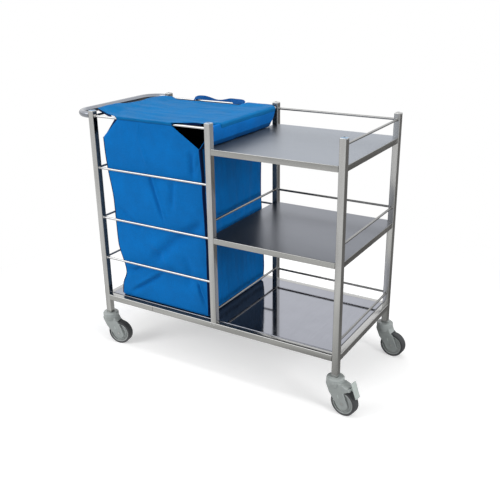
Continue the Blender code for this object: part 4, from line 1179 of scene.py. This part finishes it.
bend_end = HINGE_Y + LID_BEND
front_run = LID_SPREAD_Y - 0.001 - bend_end
flat_run = LID_NOTCH_Y - 2 * NOTCH_HALF - LID_SPREAD_Y
tab_run = LID_REAR_Y - LID_NOTCH_Y - 2 * NOTCH_HALF
rows_y = [HINGE_Y + LID_BEND * share for share in (0.0, 0.2, 0.4, 0.7, 1.0)]
rows_y += [bend_end + front_run * k / LID_FRONT_ROWS for k in range(1, LID_FRONT_ROWS + 1)]
rows_y += [LID_SPREAD_Y + flat_run * k / LID_ROWS for k in range(LID_ROWS + 1)]
rows_y += [LID_NOTCH_Y + NOTCH_HALF * k for k in (-1, 0, 1, 2)]
rows_y += [LID_NOTCH_Y + 2 * NOTCH_HALF + tab_run * k / LID_REAR_ROWS for k in range(1, LID_REAR_ROWS + 1)]
lid_points, lid_uv, lid_hem_and_shade = [], [], []
for row, y in enumerate([HINGE_Y] * len(LID_LIP_ROWS) + rows_y):
    left, right = lid_edges(y)
    lip_drop, lip_out = LID_LIP_ROWS[row] if row < len(LID_LIP_ROWS) else (0.0, 0.0)
    draped = ease(LID_SPREAD_Y - 0.045, LID_SPREAD_Y + 0.005, y)
    draped *= ease(LID_NOTCH_Y - 0.003, LID_NOTCH_Y - 0.009, y)
    ripple = 1 + 0.25 * soft_noise(y * 11, 0, 0, 35)
    drape_run = (DRAPE_RADIUS * pi / 2 + DRAPE_DROP * ripple) * draped
    inset_front = 0.02 if lip_drop else y - HINGE_Y + LID_LIP
    for column in range(LID_COLUMNS + DRAPE_COLUMNS + 1):
        past = max(column - LID_COLUMNS, 0)
        run = past / DRAPE_COLUMNS * drape_run + past * 0.00002
        x = left + (right - left) * min(column, LID_COLUMNS) / LID_COLUMNS
        point = lid_point(x, y)
        turn = min(run / DRAPE_RADIUS, pi / 2)
        point.x += DRAPE_RADIUS * sin(turn)
        point.z -= DRAPE_RADIUS * (1 - cos(turn)) + max(run - DRAPE_RADIUS * pi / 2, 0.0)
        point.z -= lip_drop
        point.y -= lip_out
        lid_points.append(point)
        lid_uv.append((x + run, y - lip_drop))
        inset = min(x - left, right - x + drape_run - run, LID_REAR_Y - y, inset_front)
        lid_hem_and_shade.append(1.0 - ease(*LID_HEM, inset))
width = LID_COLUMNS + DRAPE_COLUMNS + 1
lid_faces = grid_faces(0, len(lid_points) // width, width)
# Painted shade: the lid is the bag's nylon in a darker blue, holding down the extra light on its top, with
# slightly darker edges at its hem
lid_cloth = cloth_finish("lid_cloth", (0.0020, 0.139, 0.372), *nylon, 0.66, 0.02, 0.93)
mesh = cloth_mesh("lid", lid_points, lid_faces, lid_uv, lid_hem_and_shade, LID_CLOTH, (lid_cloth, lid_cloth))
lid = bpy.data.objects.new("lid_sheet", mesh)
scene.collection.objects.link(lid)
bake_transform(lid)
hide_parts("bag_lid")

# Painted shade: a dark strip that hangs under both slanting front edges of the lid, standing for the shade
# beneath them
EDGE_SHADE_HANG = 0.0085
EDGE_SHADE_CLOTH = 0.0010
EDGE_SHADE_STEPS = 16
first_y = HINGE_Y + 0.0205
edge_shade_points, edge_shade_faces, edge_shade_uv = [], [], []
for side, last_y in ((0, LID_SPREAD_LEFT_Y - 0.003), (1, LID_SPREAD_Y - 0.030)):
    edge_shade_faces += grid_faces(len(edge_shade_points), EDGE_SHADE_STEPS + 1, 3)
    for k in range(EDGE_SHADE_STEPS + 1):
        y = first_y + (last_y - first_y) * k / EDGE_SHADE_STEPS
        edge = lid_point(lid_edges(y)[side], y) + Vector((-0.0010 if side else 0.0010, 0.0010, -0.0012))
        for drop in (0.0, 0.5, 1.0):
            edge_shade_points.append(edge + Vector((0, 0.0008 * drop, -EDGE_SHADE_HANG * drop)))
            edge_shade_uv.append((y, drop * EDGE_SHADE_HANG))
mesh = cloth_mesh("lid_binding", edge_shade_points, edge_shade_faces, edge_shade_uv, [0.0] * len(edge_shade_points),
                  EDGE_SHADE_CLOTH, (binding_cloth, binding_cloth))
fit_piece("lid_binding", mesh, binding_cloth, "lid", "bag_cloth")

# Stitches: short raised threads in a row along a seam
stitch_row, given, result = new_tree(
    "stitch_row", "GeometryNodeTree",
    (("Geometry", "Geometry", None), ("Pitch", "Float", 0.0045), ("Length", "Float", 0.0030),
     ("Thread", "Float", 0.0004), ("Material", "Material", None)), (("Geometry", "Geometry"),))
runs = wire(stitch_row, "GeometryNodeMeshToCurve", {"Mesh": given["Geometry"]})
marks = wire(stitch_row, "GeometryNodeCurveToPoints", {"Curve": runs.outputs[0], "Length": given["Pitch"]},
             mode="LENGTH")
thread = wire(stitch_row, "GeometryNodeMeshUVSphere", {"Segments": 6, "Rings": 4, "Radius": given["Thread"]})
half_stretch = math_of(stitch_row, "MULTIPLY",
                       math_of(stitch_row, "DIVIDE", given["Length"], given["Thread"]), 0.5)
long = wire(stitch_row, "ShaderNodeCombineXYZ", {"X": 1.0, "Y": 1.0, "Z": half_stretch})
laid = wire(stitch_row, "FunctionNodeAlignRotationToVector", {"Vector": marks.outputs["Tangent"]}, axis="Z")
sewn = wire(stitch_row, "GeometryNodeInstanceOnPoints",
            {"Points": marks.outputs["Points"], "Instance": thread.outputs["Mesh"],
             "Rotation": laid.outputs[0], "Scale": long.outputs[0]})
close_shape(stitch_row, given, result, sewn.outputs[0])

thread_blue = cloth_finish("thread_blue", (0.010, 0.110, 0.380), 9000.0, 0.3, 0.05, 0.6, 0.1)


def on_lid(x, y):
    """Point of the lid's upper face."""
    return lid_point(x, y) + Vector((0, 0, LID_CLOTH / 2 + 0.0002))


SEAM_INSET = 0.0115
SEAM_STEPS, REAR_SEAM_STEPS = 70, 60
first_y, last_y = HINGE_Y + 0.024, 0.2170
seam_y = [first_y + (last_y - first_y) * k / SEAM_STEPS for k in range(SEAM_STEPS + 1)]
left_side = [(lid_edges(y)[0] + SEAM_INSET, y) for y in seam_y]
right_side = [(lid_edges(y)[1] - SEAM_INSET, y) for y in seam_y]
rear_side = [(-0.500 + 0.482 * k / REAR_SEAM_STEPS, 0.2340) for k in range(REAR_SEAM_STEPS + 1)]
seam = [[on_lid(x, y) for x, y in line] for line in (left_side, right_side, rear_side)]
mesh = shaped_by(stitch_row, "lid_stitches", line_mesh("lid_stitches", seam), pitch=0.0045, length=0.0031,
                 thread=0.00038, material=thread_blue)
fit_piece("lid_stitches", mesh, thread_blue, "lid", "bag_cloth")


# Pull strap
# A strip of 25 mm webbing, sewn to the rear hem of the lid at both ends. It lies over the rear bar and
# hangs slack behind it between them.

STRAP_THICKNESS = 0.0020
STRAP_COLUMNS = 80
STRAP_ROWS = 8
# Stations of the strap: along the rear bar, then its front edge and its rear edge, each back and up
STRAP_STATIONS = (
    (-0.3880, 0.2300, 0.9862, 0.2475, 1.0010),
    (-0.3760, 0.2320, 0.9912, 0.2510, 1.0052),
    (-0.3600, 0.2400, 0.9922, 0.2560, 1.0062),
    (-0.3400, 0.2520, 0.9850, 0.2590, 1.0052),
    (-0.3150, 0.2530, 0.9770, 0.2605, 1.0000),
    (-0.2900, 0.2530, 0.9710, 0.2600, 0.9945),
    (-0.2650, 0.2530, 0.9708, 0.2600, 0.9940),
    (-0.2400, 0.2530, 0.9760, 0.2605, 0.9985),
    (-0.2200, 0.2520, 0.9835, 0.2600, 1.0030),
    (-0.1990, 0.2420, 0.9925, 0.2575, 1.0040),
    (-0.1850, 0.2365, 0.9855, 0.2560, 1.0040),
    (-0.1550, 0.2350, 0.9870, 0.2540, 1.0040),
    (-0.1400, 0.2300, 0.9900, 0.2480, 1.0025),
    (-0.1330, 0.2260, 0.9925, 0.2440, 0.9965),
)

points, faces, rings = [], [], []
for k in range(STRAP_COLUMNS + 1):
    x = STRAP_STATIONS[0][0] + (STRAP_STATIONS[-1][0] - STRAP_STATIONS[0][0]) * k / STRAP_COLUMNS
    front_y, front_z, rear_y, rear_z = smooth_between(STRAP_STATIONS, x)
    front_edge, rear_edge = Vector((x, front_y, front_z)), Vector((x, rear_y, rear_z))
    across = (rear_edge - front_edge).normalized()
    face_way = Vector((0, -across.z, across.y))
    ring = []
    for side, order in ((-1, 1), (1, -1)):
        for j in range(STRAP_ROWS + 1)[::order]:
            share = j / STRAP_ROWS
            half = STRAP_THICKNESS / 2 - 0.00035 * (1 - ease(0.0, 0.10, min(share, 1 - share)))
            ring.append(front_edge.lerp(rear_edge, share) + face_way * side * half)
    rings.append(ring)
join_rings(points, faces, rings, first_cap=True, last_cap=True)
webbing, tree, output = empty_material("strap_webbing")
split = wire(tree, "ShaderNodeSeparateXYZ", {0: wire(tree, "ShaderNodeTexCoord").outputs["Object"]}).outputs
ribs = math_of(tree, "SINE", math_of(tree, "MULTIPLY", split["Y"], 2600.0))
picks = math_of(tree, "SINE", math_of(tree, "MULTIPLY", split["X"], 3100.0))
twill = math_of(tree, "MULTIPLY", ribs, picks)
woven = {"Color": scaled(tree, (0.005, 0.066, 0.225), spread(tree, twill, -1.0, 1.0, 0.86, 1.10)),
         "Roughness": 0.72, "Normal": bump_of(tree, 0.5, 0.0003, twill)}
lay_surface(tree, output, woven, {"Specular IOR Level": 0.15})
fit_piece("pull_strap", finished_mesh("pull_strap", points, faces, 50.0), webbing, "lid", "strap_webbing",
          "bag_strap")

boxes = []
for x0, x1 in ((-0.3870, -0.3700), (-0.1520, -0.1350)):
    box = []
    for x, share in ((x0, 0.10), (x1, 0.10), (x1, 0.90), (x0, 0.90)):
        front_y, front_z, rear_y, rear_z = smooth_between(STRAP_STATIONS, x)
        box.append(Vector((x, front_y, front_z)).lerp(Vector((x, rear_y, rear_z)), share)
                   + Vector((0, -0.0006, STRAP_THICKNESS / 2)))
    for start, end in ((0, 1), (1, 2), (2, 3), (3, 0), (0, 2), (1, 3)):
        boxes.append([box[start].lerp(box[end], t / 4) for t in range(5)])
mesh = shaped_by(stitch_row, "strap_stitches", line_mesh("strap_stitches", boxes), pitch=0.0036,
                 length=0.0026, thread=0.00035, material=thread_blue)
fit_piece("strap_stitches", mesh, thread_blue, "lid", "strap_webbing")


# Casters
# Four swivel casters of moulded grey nylon. A round bell holds the swivel and grows into a fork with two
# round cheeks; the wheel has ringed and ribbed sides and a grooved dark tyre. Two have a brake pedal.

WHEEL_RADIUS = 0.050
TRAIL = 0.042
CHEEK_INSIDE = 0.0175
CHEEK_OUTSIDE = 0.021
WELL_RADIUS = 0.0525
BELL_LOW, BELL_TOP, BELL_RADIUS = 0.107, 0.141, 0.033
BAND_LOW = 0.121
PIVOT_OUT, PIVOT_Z = 0.069, 0.113
BARREL = 0.0045
STEM_BORE, AXLE_BORE, PIN_BORE = 0.0063, 0.0043, 0.0023
SINK_RADIUS, SINK_DEPTH, BOSS_RADIUS = 0.0205, 0.0007, 0.0085
PADDLE_HALF, ARM_HALF, BARREL_HALF = 0.018, 0.0050, 0.0154
CUT_THROUGH = 0.05
MOULDED_SHARP = radians(32)
HIGHLIGHT_PLUG_SINK, HIGHLIGHT_PLUG_STAND = 0.0012, 0.0004
WEB_RIBS = (16, 0.0285, (0.0090, 0.0013, 0.0030), 0.0126)
TREAD_RIBS = (72, 0.0486, (0.0024, 0.0024, 0.0046), 0.0122)


def arc(centre, radius, start, end, steps):
    """Points on a circle from one angle to another in degrees."""
    return [(centre[0] + radius * cos(radians(start + (end - start) * k / steps)),
             centre[1] + radius * sin(radians(start + (end - start) * k / steps))) for k in range(steps + 1)]


def turned(profile, sides, axis="Z", closed=False):
    """Mesh turned from (radius, height) points about an axis through the origin."""
    points, faces = [], []
    rings = []
    for radius, height in profile:
        ring = [(radius * cos(2 * pi * k / sides), radius * sin(2 * pi * k / sides)) for k in range(sides)]
        rings.append([(a, b, height) if axis == "Z" else (a, height, b) for a, b in ring])
    join_rings(points, faces, rings, closed=closed, first_cap=not closed, last_cap=not closed)
    return finished_mesh("turned", points, faces, 30.0)


def slab(outline, low, high):
    """Mesh of an outline in (x, z) drawn out along Y."""
    points, faces = [], []
    join_rings(points, faces, [[(x, y, z) for x, z in outline] for y in (low, high)], first_cap=True,
               last_cap=True)
    return finished_mesh("slab", points, faces, 30.0)


def moved(mesh, x, y, z):
    """The same mesh, moved."""
    mesh.transform(Matrix.Translation((x, y, z)))
    return mesh


def applied(mesh, *changes):
    """Mesh after modifiers, each given as its kind and settings, with helpers removed."""
    carrier = bpy.data.objects.new("carrier", mesh)
    scene.collection.objects.link(carrier)
    helpers = [carrier]
    for kind, settings in changes:
        step = carrier.modifiers.new(kind.lower(), kind)
        for name, value in settings.items():
            if name == "object":
                value = bpy.data.objects.new("helper", value)
                scene.collection.objects.link(value)
                value.hide_render = True
                helpers.append(value)
            setattr(step, name, value)
    depsgraph = bpy.context.evaluated_depsgraph_get()
    made = bpy.data.meshes.new_from_object(carrier.evaluated_get(depsgraph))
    for helper in helpers:
        bpy.data.objects.remove(helper)
    return made


def joined(operation, mesh):
    """Change that joins a mesh in one way."""
    return "BOOLEAN", {"operation": operation, "solver": "EXACT", "object": mesh}


def cut(mesh):
    """Change that cuts a mesh away."""
    return joined("DIFFERENCE", mesh)


def add(mesh):
    """Change that adds a mesh."""
    return joined("UNION", mesh)


def rounding(width, angle):
    """Change that rounds the edges past an angle."""
    return "BEVEL", {"width": width, "segments": 3, "limit_method": "ANGLE",
                     "angle_limit": radians(angle), "harden_normals": False}


def fork_outline(braked):
    """Side view of the fork: front edge, round cheek about the axle, and a hood if there is a brake."""
    line = [(-0.028, BAND_LOW), (-0.028, BAND_LOW - 0.008), (-0.0135, 0.080)]
    line += arc((TRAIL, WHEEL_RADIUS), 0.025, 200, 350, 26)
    line.append((TRAIL + 0.005, 0.094))
    if not braked:
        return line + [(0.034, 0.106), (0.028, BAND_LOW)]
    return line + [(0.0639, 0.1045), (0.0639, 0.1175), (0.060, 0.1183), (BELL_RADIUS, 0.127)]


def housing(braked):
    """Bell and fork of one caster, hollowed for its wheel, stem, axle and pedal."""
    bell = turned([(0.0275, BELL_LOW), (0.0285, BELL_LOW + 0.001), (0.0300, BAND_LOW - 0.0022),
                   (0.0303, BAND_LOW - 0.0014), (0.0322, BAND_LOW - 0.0007), (BELL_RADIUS, BAND_LOW + 0.0004),
                   (BELL_RADIUS, BAND_LOW + 0.0075), (0.0326, BAND_LOW + 0.0080),
                   (0.0326, BAND_LOW + 0.0086), (BELL_RADIUS, BAND_LOW + 0.0091)]
                  + arc((0.0275, BELL_TOP - 0.0055), 0.0055, 0, 90, 8), 72)
    fork = applied(slab(fork_outline(braked), -CHEEK_OUTSIDE, CHEEK_OUTSIDE), rounding(0.0014, 50.0))
    well = moved(turned([(WELL_RADIUS, -CHEEK_INSIDE), (WELL_RADIUS, CHEEK_INSIDE)], 72, "Y"), TRAIL, 0,
                 WHEEL_RADIUS)
    stem_bore = turned([(STEM_BORE, BELL_LOW - 0.01), (STEM_BORE, BELL_TOP + 0.01)], 32)
    axle_bore = moved(turned([(AXLE_BORE, -CUT_THROUGH), (AXLE_BORE, CUT_THROUGH)], 32, "Y"), TRAIL, 0,
                      WHEEL_RADIUS)
    steps = [add(fork)]
    for side in (-1, 1):
        low, high = sorted((side * (CHEEK_OUTSIDE - SINK_DEPTH), side * (CHEEK_OUTSIDE + 0.01)))
        sink = turned([(SINK_RADIUS, low), (SINK_RADIUS, high)], 64, "Y")
        boss = turned([(BOSS_RADIUS, low), (BOSS_RADIUS, high)], 40, "Y")
        steps.append(cut(moved(applied(sink, cut(boss)), TRAIL, 0, WHEEL_RADIUS)))
    if braked:
        ears = slab([(-0.012, -0.0055)] + arc((0, 0), 0.0055, -90, 90, 12) + [(-0.012, BARREL)],
                    -CHEEK_OUTSIDE, CHEEK_OUTSIDE)
        gap = slab([(-0.0051, -0.0185), (0.0185, -0.0185), (0.0185, 0.0185), (-0.0051, 0.0185)], -0.016,
                   0.016)
        bore = turned([(PIN_BORE, -CUT_THROUGH), (PIN_BORE, CUT_THROUGH)], 24, "Y")
        for tool in (ears, gap, bore):
            moved(tool, PIVOT_OUT, 0, PIVOT_Z)
        steps += [add(ears), cut(gap), cut(bore)]
    steps += [cut(well), cut(stem_bore), cut(axle_bore)]
    made = applied(bell, *steps)
    made.shade_smooth()
    made.set_sharp_from_angle(angle=MOULDED_SHARP)
    return made


def wheel():
    """Wheel with a hub, a raised ring and a rounded rim, turned in one ring."""
    side = [(0.0043, 0.0150), (0.0105, 0.0150), (0.0110, 0.0145), (0.0114, 0.0126), (0.0335, 0.0126),
            (0.0341, 0.0120), (0.0345, 0.0085), (0.0374, 0.0085), (0.0377, 0.0148), (0.0382, 0.0155),
            (0.0404, 0.0155), (0.0409, 0.0148), (0.0417, 0.0145)]
    return turned(side + [(radius, -height) for radius, height in reversed(side)], 80, "Y", closed=True)


def tyre():
    """Tyre with a flat crown between two fine grooves."""
    side = [(0.0420, 0.0150), (0.0450, 0.0160)] + arc((0.0462, 0.0121), 0.0038, 80, 10, 6)
    side += [(0.0500, 0.0105), (0.0500, 0.0082), (0.0494, 0.0078), (0.0494, 0.0072), (0.0500, 0.0068)]
    return turned(side + [(radius, -height) for radius, height in reversed(side)], 96, "Y", closed=True)


ring_of_ribs, given, result = new_tree(
    "ring_of_ribs", "GeometryNodeTree",
    (("Geometry", "Geometry", None), ("Count", "Int", 12), ("Radius", "Float", 0.027),
     ("Size", "Vector", (0.014, 0.005, 0.0016)), ("Material", "Material", None)), (("Geometry", "Geometry"),))
hoop = wire(ring_of_ribs, "GeometryNodeMeshCircle", {"Vertices": given["Count"], "Radius": given["Radius"]})
rib = wire(ring_of_ribs, "GeometryNodeMeshCube", {"Size": given["Size"]})
where = wire(ring_of_ribs, "GeometryNodeInputPosition")
facing = wire(ring_of_ribs, "FunctionNodeAlignRotationToVector", {"Vector": where.outputs[0]}, axis="X")
ribbed = wire(ring_of_ribs, "GeometryNodeInstanceOnPoints",
              {"Points": hoop.outputs["Mesh"], "Instance": rib.outputs["Mesh"],
               "Rotation": facing.outputs[0]})
close_shape(ring_of_ribs, given, result, ribbed.outputs[0], smooth=False)


def both_sides(name, ribs, material):
    """Rings of ribs about the wheel's axle, on either side of its middle."""
    count, radius, size, reach = ribs
    rings = []
    for y in (-reach, reach):
        mesh = shaped_by(ring_of_ribs, name, bpy.data.meshes.new(name), count=count, radius=radius, size=size,
                         material=material)
        mesh.transform(Matrix.Translation((0, y, 0)) @ Matrix.Rotation(radians(90), 4, "X"))
        rings.append(mesh)
    return rings


def pedal():
    """Brake pedal about its pivot: barrel, arm and a broad paddle, on a pin."""
    top, foot = Vector((0.0055, 0.029)), Vector((0.0265, -0.027))
    run = (foot - top).normalized()
    back = Vector((-run.y, run.x)) * 0.002
    outline = [tuple(p) for p in (top - back, foot - back, foot + run * 0.002, foot + back, top + back,
                                  top - run * 0.002)]
    paddle = applied(slab(outline, -PADDLE_HALF, PADDLE_HALF), rounding(0.0012, 20.0))
    for vertex in paddle.vertices:
        share = (Vector((vertex.co.x, vertex.co.z)) - top).dot(run) / (foot - top).length
        vertex.co.y *= 1 - 0.26 * ease(0.70, 1.0, share) - 0.22 * ease(0.14, 0.0, share)
    middle = top.lerp(foot, 0.5)
    arm = slab([(0.0, -0.0030), tuple(middle + run * 0.010), tuple(middle - run * 0.006), (0.0, 0.0030)],
               -ARM_HALF, ARM_HALF)
    barrel = turned([(0.0034, -BARREL_HALF), (0.0034, BARREL_HALF)], 32, "Y")
    pin = turned([(0.002, -CHEEK_OUTSIDE), (0.002, CHEEK_OUTSIDE)], 20, "Y")
    made = applied(paddle, add(arm), add(barrel), add(pin))
    made.shade_smooth()
    made.set_sharp_from_angle(angle=MOULDED_SHARP)
    return made


moulded_grain, given, result = new_tree(
    "moulded_grain", "ShaderNodeTree",
    (("Vector", "Vector", None), ("Tone", "Color", (0.3, 0.3, 0.3, 1.0)), ("Roughness", "Float", 0.4),
     ("Relief", "Float", 0.1), ("Dust", "Float", 0.1)), FINISH_OUTPUTS)
flow = noise_of(moulded_grain, given["Vector"], 40.0, 4.0, 0.6)
height = wire(moulded_grain, "ShaderNodeSeparateXYZ", {0: given["Vector"]}).outputs["Z"]
dusty = math_of(moulded_grain, "MULTIPLY", spread(moulded_grain, height, 0.0, 0.09, 1.0, 0.0), flow)
dusty = math_of(moulded_grain, "MULTIPLY", dusty, given["Dust"])
dust_tone = wire(moulded_grain, "ShaderNodeCombineXYZ", {"X": dusty, "Y": dusty, "Z": dusty})
plain = scaled(moulded_grain, given["Tone"], spread(moulded_grain, flow, 0.3, 0.7, 0.95, 1.05))
colour = wire(moulded_grain, "ShaderNodeVectorMath", {0: plain, 1: dust_tone.outputs[0]}, operation="ADD")
gloss = math_of(moulded_grain, "ADD", given["Roughness"], spread(moulded_grain, flow, 0.3, 0.7, -0.05, 0.06))
specks = noise_of(moulded_grain, given["Vector"], 900.0, 2.0)
pebbled = bump_of(moulded_grain, given["Relief"], 0.0002, specks)
hand_over(moulded_grain, result, colour.outputs[0], gloss, pebbled)


def moulded_finish(name, tone, roughness, relief, dust, coat):
    """Moulded plastic or rubber with a fine pebble and a little dust near the floor."""
    material, tree, output = empty_material(name)
    place = wire(tree, "ShaderNodeTexCoord").outputs["Object"]
    finish = wire(tree, "ShaderNodeGroup", {
        "Vector": place, "Tone": (*tone, 1.0), "Roughness": roughness, "Relief": relief, "Dust": dust},
        node_tree=moulded_grain)
    lay_surface(tree, output, finish.outputs, {"Coat Weight": coat, "Coat Roughness": 0.2})
    return material


housing_nylon = moulded_finish("housing_nylon", (0.330, 0.358, 0.352), 0.38, 0.10, 0.02, 0.15)
wheel_nylon = moulded_finish("wheel_nylon", (0.38, 0.405, 0.40), 0.40, 0.10, 0.04, 0.1)
pedal_nylon = moulded_finish("pedal_nylon", (0.44, 0.49, 0.47), 0.40, 0.08, 0.0, 0.15)
tyre_rubber = moulded_finish("tyre_rubber", (0.045, 0.047, 0.050), 0.62, 0.25, 0.06, 0.0)
bolt_steel = steel_finish("bolt_steel", (0.55, 0.55, 0.54), (400.0, 400.0, 400.0), 0.30, 0.10, 0.10, 30.0)

joint_of = {joint["name"]: joint for joint in frame["joints"]}
# Painted highlight: a pale oblong plug on each cheek, in front of the axle, standing for a bright streak of
# light there
highlight_plug_line = arc((0.0245, 0.0785), 0.0022, 18, 198, 8) + arc((0.0275, 0.0695), 0.0022, 198, 378, 8)
plugs = [slab(highlight_plug_line, *sorted((side * (CHEEK_OUTSIDE - HIGHLIGHT_PLUG_SINK), side * (CHEEK_OUTSIDE + HIGHLIGHT_PLUG_STAND))))
         for side in (-1, 1)]
housings = {False: housing(False), True: housing(True)}
wheel_shape, tyre_shape, pedal_shape = wheel(), tyre(), pedal()
web_ribs = both_sides("web_ribs", WEB_RIBS, wheel_nylon)
tread = both_sides("tread", TREAD_RIBS, tyre_rubber)


def merged(name, meshes, matrix):
    """One mesh from copies of several, moved by a matrix."""
    bm = bmesh.new()
    for mesh in meshes:
        bm.from_mesh(mesh)
    bm.transform(matrix)
    made = bpy.data.meshes.new(name)
    bm.to_mesh(made)
    bm.free()
    made.set_sharp_from_angle(angle=MOULDED_SHARP)
    return made


for corner in ("fl", "fr", "rl", "rr"):
    stem_place = Vector(joint_of[f"{corner}_swivel"]["pos_m"])
    roll_axis = joint_of[f"{corner}_roll"]["axis"]
    heading = atan2(-roll_axis[0], roll_axis[1])
    braked = f"{corner}_brake" in joint_of
    standing = Matrix.Translation((stem_place.x, stem_place.y, 0)) @ Matrix.Rotation(heading, 4, "Z")
    at_axle = standing @ Matrix.Translation((TRAIL, 0, WHEEL_RADIUS))
    fit_piece(f"caster_{corner}_fork", merged("fork", [housings[braked]], standing), housing_nylon,
              f"swivel_{corner}", "caster_plastic", f"caster_{corner}_housing")
    # Painted highlight: the pale plugs on the cheeks
    fit_piece(f"caster_{corner}_plugs", merged("plugs", plugs, standing), pedal_nylon, f"swivel_{corner}",
              "caster_plastic")
    fit_piece(f"caster_{corner}_rim", merged("rim", [wheel_shape] + web_ribs, at_axle), wheel_nylon,
              f"wheel_{corner}", "caster_plastic", f"caster_{corner}_wheel")
    fit_piece(f"caster_{corner}_tread", merged("tread", [tyre_shape] + tread, at_axle), tyre_rubber,
              f"wheel_{corner}", "tyre_rubber", f"caster_{corner}_tyre")
    if braked:
        at_pivot = standing @ Matrix.Translation((PIVOT_OUT, 0, PIVOT_Z))
        fit_piece(f"caster_{corner}_paddle", merged("paddle", [pedal_shape], at_pivot), pedal_nylon,
                  f"brake_{corner}", "pedal_plastic", f"caster_{corner}_pedal")
    for part in ("stem", "axle"):
        node = frame["nodes"][f"caster_{corner}_{part}"]
        node.data.materials.clear()
        node.data.materials.append(bolt_steel)
